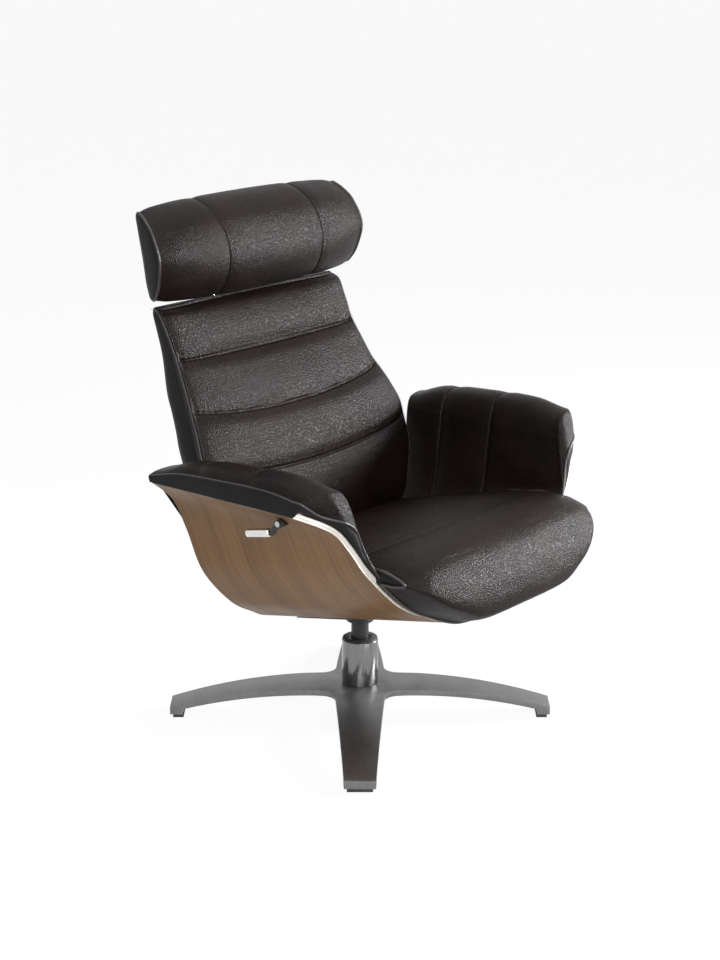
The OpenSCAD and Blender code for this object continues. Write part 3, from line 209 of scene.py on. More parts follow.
def ripple(p, length, seed, waves=14):
    """Smooth unevenness from -1 to 1: the mean of sines of the point along seeded directions, about length apart."""
    rng = np.random.default_rng(seed)
    k = unit(rng.normal(size=(waves, 3))) * (2 * np.pi / length) * rng.uniform(0.6, 1.5, (waves, 1))
    return np.sin(p @ k.T + rng.uniform(0, 6.28, waves)).sum(-1) / math.sqrt(waves) / 1.6


def rippled(sink, p, waves, *seeds):
    """A depth with ripples of the point added to it, one for each wave and seed."""
    for (depth, length), seed in zip(waves, seeds):
        sink = sink + depth * ripple(p, length, seed)
    return sink


def crease(distance, depth, width, soft, reach):
    """Depth of a sewn seam at a distance from it: a narrow dip and a wide soft one, both bell curves."""
    return depth * np.exp(-(distance / width) ** 2) + soft * np.exp(-(distance / reach) ** 2)


def pucker(distance, run, seed, height, pitch, reach=9.0):
    """Small folds that run away from a seam: a sine of the way along it, wandering, that dies out with distance."""
    wander = 1.7 * np.sin(run / 37.0 + seed) + 1.1 * np.sin(run / 17.3 + 2 * seed)
    return height * np.sin(2 * np.pi * run / pitch + wander) * np.exp(-np.abs(distance) / reach)


def dome(count, power=2.4):
    """Growth and lead of rings that close an end: lead k from 0 to 1, growth (1 - k^power)^(1/power)."""
    k = np.sin(np.linspace(0, np.pi / 2, count + 1))[1:]
    return np.maximum(1 - k ** power, 0) ** (1 / power), k


def shell_out(t, s):
    """Outer face of the shell: t from lip to lip, s from the back edge to the front. Across and up come from
    the table at |t|, and the height grows with s by the table's share of the rise."""
    c = along(SHELL, np.abs(t))
    y = mix(SHELL_BACK * c[..., 3], -SHELL_FRONT * c[..., 4], s)
    z = SHELL_BOTTOM + SHELL_H * c[..., 1] + SHELL_RISE * c[..., 2] * (SHELL_BACK - y) / (SHELL_BACK + SHELL_FRONT)
    return np.stack([np.sign(t) * SHELL_HALF_W * c[..., 0], y, z], -1)


def shell_in(t, s, d):
    """Outer face moved d along its normal in the plane across the chair."""
    a, b = shell_out(t - 0.01, s), shell_out(t + 0.01, s)
    n = unit(np.stack([a[..., 2] - b[..., 2], 0 * t, b[..., 0] - a[..., 0]], -1))
    return shell_out(t, s) + n * d


def shell_top_z(x, y):
    """Height of the shell's inner face over a point of the floor: outer height there plus the wall over the
    cosine of its slope."""
    rows = along(SHELL, np.linspace(0, 1, 60))

    def out(w):
        h, rise = np.interp(w, rows[:, 0], rows[:, 1]), np.interp(w, rows[:, 0], rows[:, 2])
        return SHELL_BOTTOM + SHELL_H * h + SHELL_RISE * rise * (SHELL_BACK - y) / (SHELL_BACK + SHELL_FRONT)

    w = np.abs(x) / SHELL_HALF_W
    slope = (out(w + 0.01) - out(w - 0.01)) / (0.02 * SHELL_HALF_W)
    return out(w) + PLY_T * np.sqrt(1 + slope ** 2)


def shell_edge_y(x):
    """Place of the shell's front edge at a distance x from the middle."""
    rows = along(SHELL, np.linspace(0, 1, 60))
    return -SHELL_FRONT * np.interp(np.abs(x) / SHELL_HALF_W, rows[:, 0], rows[:, 4])


def smooth(x, low, high):
    """0 below low, 1 above high, and 3kk - 2kkk between them."""
    k = np.clip((x - low) / (high - low), 0, 1)
    return k * k * (3 - 2 * k)


def seat_point(u, v):
    """Seat leather: u from side to side, v round the front from the top at the back to the edge of the shell.
    The table gives set-back and height, and the nose rounds by |u|^3 and the corner by |u|^12. The last stretch
    of v turns in to a line just ahead of the shell's edge."""
    c = along(SEAT, v)
    e, w = np.abs(u) ** 3, np.abs(u) ** 12
    nose = SEAT_NOSE - SEAT_ROUND * e - SEAT_CORNER * w
    x = u * SEAT_HALF_W * np.ones_like(c[..., 0])
    edge = shell_edge_y(x)
    y = -nose + (nose + SEAT_REAR) * c[..., 0]
    z = SEAT_LOW + (SEAT_TOP - SEAT_LOW) * c[..., 1] - SEAT_CROWN * e - SEAT_EDGE * w * c[..., 1]
    turn = smooth(v, SEAT_TURN_V - SEAT_TURN_E * e, 1.0)
    lift = shell_top_z(x, edge) - SEAT_DROP
    crest = SEAT_TOP - SEAT_CROWN * e - SEAT_EDGE * w
    front = lift + (crest - lift) * np.clip((c[..., 1] - 0.02) / 0.98, 0, 1.02)
    y = mix(y, edge - SEAT_LIP, turn)
    z = mix(z, front, smooth(v, 0.40, 0.55))
    low = shell_top_z(x, np.maximum(y, edge)) + SEAT_GAP + SEAT_LIFT * (1 - v)
    return np.stack([x, y, np.where(v < 0.45, np.maximum(z, low), z)], -1)


def pad_point(s, w, side):
    """Arm pad leather: s from the tail to the front, w from the lip over the crown to the foot. The table
    gives across, up and the ends; up runs from the foot to the lip and on to the crown, whose height
    follows its own table along s."""
    c = along(PAD, w)
    lip = shell_out(np.ones_like(s), s)[..., 2]
    foot = shell_in(np.full_like(s, 2 / 3), s, PLY_T)[..., 2]
    crown = PAD_CROWN_H * along(PAD_CROWN, s)[..., 0]
    y = mix(SHELL_BACK * c[..., 3], -SHELL_FRONT * c[..., 2], s)
    z = np.where(c[..., 1] > 1, lip + (c[..., 1] - 1) * crown, mix(foot, lip, c[..., 1]))
    return np.stack([side * SHELL_HALF_W * c[..., 0], y, z], -1)


def back_edge(b):
    """Place of the back's front edge at the height share b of the table."""
    return BACK_FOOT + BACK_RUN * along(BACK, b)[..., 1]


def back_point(b, u):
    """Back leather: b from bottom to top, u from side to side. The face stands ahead of its edge by a
    superellipse in u, hollows between the wings as 1 - uu, and crowns at the loins."""
    c = along(BACK, b)
    soft = np.sqrt(np.maximum(0, 1 - np.abs(u) ** 7))
    y = back_edge(b) + BACK_EDGE_IN * (1 - soft) - BACK_AHEAD * soft + BACK_HOLLOW * (1 - u ** 2) * c[..., 0]
    y = y - BACK_LOIN * (1 - u ** 2) * np.sin(np.pi * np.minimum(1, c[..., 0] * 1.4))
    return np.stack([u * BACK_HALF_W * c[..., 3], y, BACK_BOTTOM + BACK_H * c[..., 0]], -1)


def head_point(u, f):
    """Headrest leather: u from end to end, f round the roll. The section runs from the table of the middle
    to that of the ends with |u|^3 and shrinks to HEAD_ROUND at the ends; the ends slant by a share of the
    depth and draw in towards the bottom."""
    e = (np.abs(u) ** 3)[..., None]
    c = mix(along(HEAD_MID, f), along(HEAD_END, f), e)
    k = 1 - HEAD_ROUND * np.clip((np.abs(u) - HEAD_ROUND_FROM) / (1 - HEAD_ROUND_FROM), 0, 1) ** HEAD_ROUND_POWER
    c = 0.5 + (c - 0.5) * k[..., None]
    half = HEAD_HALF_W * (1 - HEAD_TAPER * c[..., 0] - HEAD_DRAW * (1 - c[..., 1]) ** 2)
    return np.stack([u * half, HEAD_NOSE + HEAD_DEPTH * c[..., 0], HEAD_LOW + HEAD_H * c[..., 1]], -1)


# Meshes

def grid_faces(n, m, wrap):
    """Quads of a grid of n rows of m points, closed round the rows if wrap."""
    i, j = np.arange(n - 1)[:, None] * m, np.arange(m if wrap else m - 1)[None, :]
    k = (j + 1) % m
    return np.stack([i + j, i + m + j, i + m + k, i + k], -1).reshape(-1, 4)


def link(name, mesh):
    """Object with a smooth mesh, in the scene."""
    mesh.polygons.foreach_set("use_smooth", [True] * len(mesh.polygons))
    obj = bpy.data.objects.new(name, mesh)
    bpy.context.scene.collection.objects.link(obj)
    return obj


def make(name, points, faces, marks=None, uv=None, outward=True):
    """Mesh object of points in millimetres and faces as lists of point numbers. marks are material numbers
    per face, and uv is one pair per point."""
    mesh = bpy.data.meshes.new(name)
    mesh.from_pydata(((np.asarray(points, float).reshape(-1, 3) + [0, SET_BACK, 0]) * MM).tolist(), [],
                     [list(map(int, f)) for f in faces])
    if marks is not None:
        mesh.polygons.foreach_set("material_index", np.asarray(marks, np.int32))
    if uv is not None:
        corners = np.empty(len(mesh.loops), np.int32)
        mesh.loops.foreach_get("vertex_index", corners)
        layer = mesh.uv_layers.new(name="run")
        layer.data.foreach_set("uv", np.asarray(uv, float).reshape(-1, 2)[corners].astype(np.float32).ravel())
    if outward:
        work = bmesh.new()
        work.from_mesh(mesh)
        bmesh.ops.recalc_face_normals(work, faces=work.faces)
        work.to_mesh(mesh)
        work.free()
    return link(name, mesh)


def rings_mesh(name, rings, marks=None):
    """Closed mesh through rings of points, shut at both ends by fans to the last ring's mean."""
    n, m = rings.shape[:2]
    points = np.concatenate([rings.reshape(-1, 3), [rings[0].mean(0)], [rings[-1].mean(0)]])
    j = np.arange(m)
    k = (j + 1) % m
    first = np.stack([np.full(m, n * m), j, k], -1)
    last = np.stack([np.full(m, n * m + 1), (n - 1) * m + k, (n - 1) * m + j], -1)
    faces = grid_faces(n, m, True).tolist() + first.tolist() + last.tolist()
    if marks is not None:
        cell = marks[:-1].ravel()
        marks = np.concatenate([cell, np.full(m, marks[0, 0]), np.full(m, marks[-1, 0])])
    return make(name, points, faces, marks)


def tube(name, path, radius, up, sides=8, closed=False):
    """Round welt along a path: at each point a circle of the radius across the path, with up as one of its arms."""
    path = np.asarray(path, float)
    if closed:
        t = unit(np.roll(path, -1, 0) - np.roll(path, 1, 0))
    else:
        t = unit(np.gradient(path, axis=0))
    up = np.broadcast_to(np.asarray(up, float), path.shape)
    a = unit(up - (up * t).sum(-1, keepdims=True) * t)
    b = np.cross(t, a)
    q = np.linspace(0, 2 * np.pi, sides, endpoint=False)[None, :, None]
    rings = path[:, None] + radius * (np.cos(q) * a[:, None] + np.sin(q) * b[:, None])
    if closed:
        n = len(path)
        i, j = np.arange(n)[:, None], np.arange(sides)[None, :]
        i2, k = (i + 1) % n, (j + 1) % sides
        faces = np.stack([i * sides + j, i2 * sides + j, i2 * sides + k, i * sides + k], -1).reshape(-1, 4)
        return make(name, rings, faces)
    return rings_mesh(name, rings)


def even(path, step):
    """A path resampled at even steps along its length."""
    path = np.asarray(path, float)
    length = np.concatenate([[0], np.cumsum(np.linalg.norm(np.diff(path, axis=0), axis=1))])
    at = np.linspace(0, length[-1], max(3, int(length[-1] / step) + 1))
    return np.stack([np.interp(at, length, path[:, i]) for i in range(3)], -1)


def stitches(name, path, up, pitch=5.0, length=3.4, radius=0.42):
    """Thread dashes along a path, one each pitch: six-sided capsules, slightly sunk at both ends."""
    p = even(path, pitch)
    up = np.asarray(up, float)
    t = unit(np.gradient(p, axis=0))
    a = unit(up - (up * t).sum(-1, keepdims=True) * t)
    b = np.cross(t, a)
    stations = np.array([-0.5, -0.36, 0, 0.36, 0.5])
    girth = np.array([0.35, 0.9, 1, 0.9, 0.35])
    lift = np.array([-0.5, 0.1, 0.35, 0.1, -0.5])
    q = np.linspace(0, 2 * np.pi, 6, endpoint=False)
    ring = p[:, None, None] + length * stations[None, :, None, None] * t[:, None, None] \
        + radius * (girth[None, :, None, None] * (np.cos(q)[None, None, :, None] * a[:, None, None]
                                                  + np.sin(q)[None, None, :, None] * b[:, None, None])
                    + lift[None, :, None, None] * a[:, None, None])
    n, s, m = ring.shape[:3]
    one = grid_faces(s, m, True)
    quads = (one[None] + (np.arange(n) * s * m)[:, None, None]).reshape(-1, 4).tolist()
    ends = np.arange(m)
    caps = np.concatenate([ends[::-1][None] + (np.arange(n) * s * m)[:, None],
                           ends[None] + (np.arange(n) * s * m + (s - 1) * m)[:, None]]).tolist()
    return make(name, ring, quads + caps)


def swell(rings, hold, pressure, cap, calm):
    """How far each point of a coarse closed skin moves when it is filled: the skin is simulated as cloth under
    pressure, with the points of hold kept, and only the moves along its normal are used, evened out over calm
    rounds and none longer than cap millimetres."""
    n, m = rings.shape[:2]
    obj = rings_mesh("swelling", rings)
    group = obj.vertex_groups.new(name="hold")
    weight = np.clip(hold, 0, 1).ravel()
    for level in np.unique(np.round(weight, 1)):
        if level > 0:
            group.add(np.nonzero(np.round(weight, 1) == level)[0].tolist(), float(level), "REPLACE")
    group.add([n * m, n * m + 1], 1.0, "REPLACE")
    cloth = obj.modifiers.new("cloth", "CLOTH")
    s = cloth.settings
    s.quality = 6
    s.mass = 0.3
    s.tension_stiffness = s.compression_stiffness = 12
    s.shear_stiffness = 6
    s.bending_stiffness = 0.6
    s.vertex_group_mass = "hold"
    s.use_pressure = True
    s.uniform_pressure_force = pressure
    s.effector_weights.gravity = 0
    cloth.collision_settings.use_collision = False
    scene = bpy.context.scene
    for f in range(1, CLOTH_FRAMES + 1):
        scene.frame_set(f)
    shown = obj.evaluated_get(bpy.context.evaluated_depsgraph_get())
    co = np.empty(len(shown.data.vertices) * 3, np.float32)
    shown.data.vertices.foreach_get("co", co)
    mesh = obj.data
    bpy.data.objects.remove(obj)
    bpy.data.meshes.remove(mesh)
    scene.frame_set(1)
    moved = co.reshape(-1, 3)[:n * m].astype(float) / MM - [0, SET_BACK, 0]
    delta = moved.reshape(n, m, 3) - rings
    n_out = facing(rings, True)
    middle = rings.mean(1, keepdims=True)
    n_out = np.where(((rings - middle) * n_out).sum(-1, keepdims=True).mean() < 0, -n_out, n_out)
    size = np.clip((delta * n_out).sum(-1), -cap, cap)
    for _ in range(calm):
        size = (size + np.roll(size, 1, 1) + np.roll(size, -1, 1)) / 3
        size[1:-1] = (size[:-2] + size[1:-1] + size[2:]) / 3
        size = size * (1 - np.clip(hold, 0, 1) ** 2)
    return n_out * size[..., None]


def spread(delta, a, b, a_fine, b_fine):
    """A coarse field of moves carried to a finer grid by the smooth curve of along, first down and then across."""
    ta = np.interp(a_fine, a, np.linspace(0, 1, len(a)))
    tb = np.interp(b_fine, b, np.linspace(0, 1, len(b)))
    rows = along(delta, ta)
    return np.swapaxes(along(np.swapaxes(rows, 0, 1), tb), 0, 1)


# Materials

def add(tree, kind, inputs=None, **settings):
    """A node with its settings and its inputs, each a value or the socket that feeds it."""
    n = tree.nodes.new(kind)
    for key, value in settings.items():
        setattr(n, key, value)
    for key, value in (inputs or {}).items():
        if isinstance(value, bpy.types.NodeSocket):
            tree.links.new(value, n.inputs[key])
        else:
            n.inputs[key].default_value = value
    return n


def maths(tree, operation, a, b):
    """Result of one sum on two values or sockets."""
    return add(tree, "ShaderNodeMath", {0: a, 1: b}, operation=operation).outputs[0]


def weighted(tree, *pairs):
    """Sum of sockets, each times its weight."""
    total = None
    for socket, weight in pairs:
        part = maths(tree, "MULTIPLY", socket, weight)
        total = part if total is None else maths(tree, "ADD", total, part)
    return total


def noise(tree, at, scale, detail, **more):
    """Noise from 0 to 1 at a place."""
    return add(tree, "ShaderNodeTexNoise", {"Vector": at, "Scale": scale, "Detail": detail, **more}).outputs["Fac"]


def drawn(tree, at, scale):
    """A place scaled along each axis."""
    return add(tree, "ShaderNodeVectorMath", {0: at, 1: scale}, operation="MULTIPLY").outputs[0]


def ramp(tree, value, stops):
    """Colour of a value between stops of place and colour."""
    n = add(tree, "ShaderNodeValToRGB", {"Fac": value})
    while len(n.color_ramp.elements) < len(stops):
        n.color_ramp.elements.new(0.5)
    for element, (place, colour) in zip(n.color_ramp.elements, stops):
        element.position = place
        element.color = (*colour, 1)
    return n.outputs["Color"]


def spread_value(tree, value, low, high, to_low, to_high):
    """A value's span low to high carried to to_low to to_high, with no overrun."""
    return add(tree, "ShaderNodeMapRange", {"Value": value, "From Min": low, "From Max": high, "To Min": to_low,
                                            "To Max": to_high}).outputs[0]


def group(name, inputs, outputs, fill):
    """Node group built once by fill(tree, inside), with a default for each input, None for a free vector."""
    if name in bpy.data.node_groups:
        return bpy.data.node_groups[name]
    tree = bpy.data.node_groups.new(name, "ShaderNodeTree")
    for label, default in inputs.items():
        kind = "NodeSocketFloat" if isinstance(default, float) else "NodeSocketVector"
        socket = tree.interface.new_socket(name=label, in_out="INPUT", socket_type=kind)
        if default is not None:
            socket.default_value = default
    for label in outputs:
        tree.interface.new_socket(name=label, in_out="OUTPUT", socket_type="NodeSocketFloat")
    inside, result = tree.nodes.new("NodeGroupInput"), tree.nodes.new("NodeGroupOutput")
    for label, socket in fill(tree, inside.outputs).items():
        tree.links.new(socket, result.inputs[label])
    return tree


def use(tree, made, **inputs):
    """The outputs of a group placed in a tree."""
    return add(tree, "ShaderNodeGroup", inputs, node_tree=made).outputs


def hide_grain():
    """Leather: pebbles from the distance to the edges of cells, over finer cells and slow wrinkles."""
    def fill(tree, i):
        at, pebbles = i["Vector"], i["Pebbles"]
        cells = add(tree, "ShaderNodeTexVoronoi", {"Vector": at, "Scale": pebbles, "Randomness": 0.9},
                    feature="DISTANCE_TO_EDGE").outputs["Distance"]
        raised = spread_value(tree, cells, 0.0, 0.32, 0.0, 1.0)
        fine = noise(tree, at, maths(tree, "MULTIPLY", pebbles, 1.9), 3.0, Roughness=0.6)
        slow = noise(tree, at, 34.0, 4.0, Roughness=0.55)
        return {"Height": weighted(tree, (fine, 0.30), (slow, 0.15), (raised, 0.8)),
                "Tone": noise(tree, at, 9.0, 3.0), "Raised": raised}
    return group("Hide grain", {"Vector": None, "Pebbles": 300.0}, ("Height", "Tone", "Raised"), fill)


def wood_figure():
    """Veneer: fine pores and slow bands, both drawn out along the grain, which runs along the first coordinate."""
    def fill(tree, i):
        at = i["Vector"]
        bands = noise(tree, drawn(tree, at, (2.0, 130.0, 1.0)), 1.0, 5.0, Roughness=0.6, Distortion=0.5)
        pores = noise(tree, drawn(tree, at, (26.0, 900.0, 1.0)), 1.0, 3.0, Roughness=0.7)
        slow = noise(tree, drawn(tree, at, (1.0, 22.0, 1.0)), 1.0, 2.0)
        return {"Figure": weighted(tree, (bands, 0.55), (slow, 0.45)),
                "Pores": spread_value(tree, pores, 0.56, 0.70, 0.0, 1.0)}
    return group("Wood figure", {"Vector": None}, ("Figure", "Pores"), fill)


def brushing():
    """Metal: hairlines drawn out along Z of its coordinates, and slow patches of handling."""
    def fill(tree, i):
        return {"Lines": noise(tree, drawn(tree, i["Vector"], i["Stretch"]), 1.0, 4.0, Roughness=0.65),
                "Patches": noise(tree, i["Vector"], 14.0, 3.0)}
    return group("Brushing", {"Vector": None, "Stretch": (300, 300, 8)}, ("Lines", "Patches"), fill)


def material(name, build, **values):
    """Material whose plain values are set on its shader. build(tree, at) gives the sockets of colour and
    roughness, or None, and the height, strength and distance of its bump, from the piece's own coordinates."""
    made = bpy.data.materials.get(name)
    if made:
        return made
    made = bpy.data.materials.new(name)
    made.use_nodes = True
    tree = made.node_tree
    shader = tree.nodes["Principled BSDF"]
    for key, value in values.items():
        shader.inputs[key.replace("_", " ")].default_value = value
    colour, gloss, (height, strength, distance) = build(tree, add(tree, "ShaderNodeTexCoord").outputs["Object"])
    bump = add(tree, "ShaderNodeBump", {"Height": height, "Strength": strength, "Distance": distance})
    tree.links.new(colour, shader.inputs["Base Color"])
    if gloss is not None:
        tree.links.new(gloss, shader.inputs["Roughness"])
    tree.links.new(bump.outputs["Normal"], shader.inputs["Normal"])
    return made


def leather(name, dark, light, pebbles, strength, rough, shine=0.10):
    """Leather with darker valleys, browner crowns and a softer gloss between the pebbles: its colour runs from a
    painted shaded copy to a painted lit copy of one brown, by random tone and by the raised pebble crowns, so the
    crowns carry painted highlight and the valleys painted shade.
    """
    def build(tree, at):
        grain = use(tree, hide_grain(), Vector=at, Pebbles=pebbles)
        # Colour mask: random tone plus the raised pebble crowns, which take the lit colour as painted highlight while
        # the valleys keep the painted shade.
        shade = weighted(tree, (grain["Tone"], 1.0), (grain["Raised"], 0.25))
        gloss = weighted(tree, (grain["Tone"], 1.0), (grain["Raised"], -0.10))
        return (ramp(tree, shade, [(0.3, dark), (0.85, light)]),
                spread_value(tree, gloss, 0.2, 0.8, rough - 0.03, rough + 0.04), (grain["Height"], strength, 0.0012))
    return material(name, build, Specular_IOR_Level=shine)


def veneer(name, dark, mid, light, rough=0.42):
    """Oiled veneer whose grain follows the piece's own run of coordinates."""
    def build(tree, _):
        wood = use(tree, wood_figure(), Vector=add(tree, "ShaderNodeUVMap", uv_map="run").outputs["UV"])
        colour = ramp(tree, wood["Figure"], [(0.30, dark), (0.5, mid), (0.70, light)])
        pored = add(tree, "ShaderNodeMix", {"Factor": maths(tree, "MULTIPLY", wood["Pores"], 0.5), "A": colour,
                                            "B": (*[c * 0.45 for c in dark], 1)}, data_type="RGBA")
        return (pored.outputs["Result"], spread_value(tree, wood["Figure"], 0.3, 0.7, rough + 0.06, rough - 0.05),
                (maths(tree, "MULTIPLY", wood["Pores"], -1.0), 0.25, 0.0003))
    return material(name, build, Specular_IOR_Level=0.25)


def ply_edge(name, pale, dark):
    """Cut plywood edge: five layers across the wall, softly parted, and end grain in each."""
    def build(tree, at):
        wall = add(tree, "ShaderNodeAttribute", attribute_name="wall").outputs["Fac"]
        layer = maths(tree, "PINGPONG", maths(tree, "MULTIPLY", wall, 5.0), 1.0)
        both = weighted(tree, (layer, 0.45), (noise(tree, at, 340.0, 3.0), 0.55))
        return ramp(tree, both, [(0.25, dark), (0.7, pale)]), None, (both, 0.25, 0.0004)
    return material(name, build, Roughness=0.38)


def metal(name, dark, light, rough, stretch, strength=0.08, spread_by=0.06, metallic=1.0):
    """Brushed or cast metal: hairlines in colour, gloss and height."""
    def build(tree, at):
        brushed = use(tree, brushing(), Vector=at, Stretch=stretch)
        both = weighted(tree, (brushed["Lines"], 0.6), (brushed["Patches"], 0.4))
        return (ramp(tree, both, [(0.35, dark), (0.65, light)]),
                spread_value(tree, both, 0.35, 0.65, rough - spread_by, rough + spread_by),
                (brushed["Lines"], strength, 0.0004))
    return material(name, build, Metallic=metallic)


def moulded(name, colour, rough, scale=420.0):
    """Moulded plastic or rubber: a fine even texture with slow changes of gloss."""
    def build(tree, at):
        slow = noise(tree, at, 18.0, 2.0)
        return (ramp(tree, slow, [(0.3, [c * 0.8 for c in colour]), (0.7, [c * 1.25 for c in colour])]),
                spread_value(tree, slow, 0.3, 0.7, rough - 0.05, rough + 0.07),
                (noise(tree, at, scale, 3.0), 0.25, 0.0004))
    return material(name, build)


def finishes():
    """Every finish of the chair by its name, from the panel's colours."""
    p = bpy.context.scene.recliner
    wood = np.array(p.walnut)
    return {
        "leather": leather("Grained leather", tuple(p.leather_dark), tuple(p.leather_lit), 320.0, 0.42, 0.38),
        "smooth": leather("Smooth leather", (0.003, 0.0032, 0.003), (0.008, 0.0084, 0.008), 520.0, 0.16, 0.44, 0.12),
        "welt": leather("Welt leather", (0.008, 0.006, 0.0055), (0.02, 0.015, 0.014), 600.0, 0.2, 0.3, 0.5),
        "walnut_ply": veneer("Walnut veneer", tuple(wood * 0.62), tuple(wood), tuple(wood * 1.3)),
        "edge": ply_edge("Cut ply edge", (0.50, 0.48, 0.455), (0.26, 0.225, 0.19)),
        "cast_base": metal("Satin cast metal", (0.15, 0.15, 0.153), (0.19, 0.19, 0.193), 0.42, (120, 120, 120),
                           0.03, 0.03),
        "polished_steel": metal("Polished dark steel", (0.19, 0.19, 0.193), (0.23, 0.23, 0.233), 0.2,
                                (260, 260, 4), 0.015, 0.02),
        "bright_steel": metal("Bright plated steel", (0.62, 0.62, 0.62), (0.78, 0.78, 0.77), 0.16, (80, 80, 80),
                              0.02, 0.03),
        "zinc_steel": metal("Zinc plated steel", (0.34, 0.34, 0.33), (0.52, 0.52, 0.50), 0.36, (150, 150, 150),
                            0.05),
        "black_steel": metal("Black coated steel", (0.012, 0.012, 0.013), (0.024, 0.024, 0.026), 0.4,
                             (400, 400, 400), 0.12, metallic=0.3),
        "black_plastic": moulded("Black moulding", (0.013, 0.013, 0.013), 0.4),
        "rubber": moulded("Foot rubber", (0.016, 0.016, 0.016), 0.7, 260.0),
        "bush_plastic": moulded("Bush moulding", (0.62, 0.60, 0.54), 0.45),
        "birch_ply": moulded("Birch panel", (0.42, 0.30, 0.17), 0.6, 120.0),
    }


def dress(obj, *names):
    """Gives an object its finishes by name. An empty list isn't cleared, as that would reset its faces' marks."""
    made = finishes()
    if len(obj.data.materials):
        obj.data.materials.clear()
    for name in names:
        obj.data.materials.append(made[name])
    return obj


# Pieces

def bevel(obj, width, segments, angle):
    """Rounds the edges of an object that are sharper than an angle."""
    edge = obj.modifiers.new("round", "BEVEL")
    edge.width, edge.segments, edge.limit_method = width * MM, segments, "ANGLE"
    edge.angle_limit = math.radians(angle)
    edge.harden_normals = True


def rounded(node, width, segments, finish):
    """A node's mesh with its doubles merged and its edges rounded, in the node's place."""
    source = frame["nodes"][node]
    mesh = source.data.copy()
    work = bmesh.new()
    work.from_mesh(mesh)
    bmesh.ops.remove_doubles(work, verts=work.verts, dist=2e-5)
    bmesh.ops.dissolve_limit(work, angle_limit=math.radians(0.6), verts=work.verts, edges=work.edges)
    bmesh.ops.recalc_face_normals(work, faces=work.faces)
    work.to_mesh(mesh)
    work.free()
    obj = link(node + "_finished", mesh)
    bevel(obj, width, segments, ROUND_ANGLE)
    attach(obj, source["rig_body"])
    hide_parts(node)
    return dress(obj, finish)


def settle(obj, body, nodes=()):
    """Puts a new piece on its body and hides the nodes that it stands for."""
    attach(obj, body)
    if nodes:
        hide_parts(*nodes)
    return obj


def welt(name, path, radius, up, body, closed=False):
    """Piping along a path, on a body."""
    return settle(dress(tube(name, path, radius, up, closed=closed), "welt"), body)


def build_hardware():
    """Rounds and finishes the base, frame, lever and fasteners, each in its node's place."""
    made = finishes()
    width_by = bpy.context.scene.recliner.edge_width
    for node, obj in frame["nodes"].items():
        finish = NODE_FINISH.get(node)
        ready(finish in made or node in SOFT_NODES, f"{node} has no finish")
        if node in ROUNDED:
            width, segments = ROUNDED[node]
            rounded(node, width * width_by, segments, finish)
        elif node not in SOFT_NODES:
            obj.data.materials.clear()
            obj.data.materials.append(made[finish])


def build_shell():
    """Moulded shell: both faces on one grid of t and s, joined round the rim, with the rim as its own finish."""
    t, s = np.linspace(-1, 1, 181), np.linspace(0, 1, 73)
    tt, ss = np.meshgrid(t, s, indexing="ij")
    outer, inner = shell_out(tt, ss), shell_in(tt, ss, PLY_T)
    n, m = tt.shape
    k = n * m
    girth = np.concatenate([[0], np.cumsum(np.linalg.norm(np.diff(outer[:, m // 2], axis=0), axis=1))])
    run = np.stack([np.broadcast_to(girth[:, None], tt.shape), -outer[..., 1]], -1) * MM
    face = grid_faces(n, m, False)
    ring = np.concatenate([np.arange(n) * m, (n - 1) * m + np.arange(1, m), np.arange(n - 2, -1, -1) * m + m - 1,
                           np.arange(m - 2, 0, -1)])
    nxt = np.roll(ring, -1)
    rim = np.stack([ring, nxt, nxt + k, ring + k], -1)
    faces = np.concatenate([face, face + k, rim])
    marks = np.concatenate([np.zeros(2 * len(face), int), np.ones(len(rim), int)])
    obj = make("shell_veneer", np.concatenate([outer.reshape(-1, 3), inner.reshape(-1, 3)]), faces.tolist(), marks,
               uv=np.concatenate([run.reshape(-1, 2), run.reshape(-1, 2)]))
    wall = obj.data.attributes.new("wall", "FLOAT", "POINT")
    wall.data.foreach_set("value", np.concatenate([np.zeros(k), np.ones(k)]).astype(np.float32))
    bevel(obj, PLY_ROUND, 2, PLY_ANGLE)
    dress(obj, "walnut_ply", "edge")
    return settle(obj, "seat", nodes=["shell"])


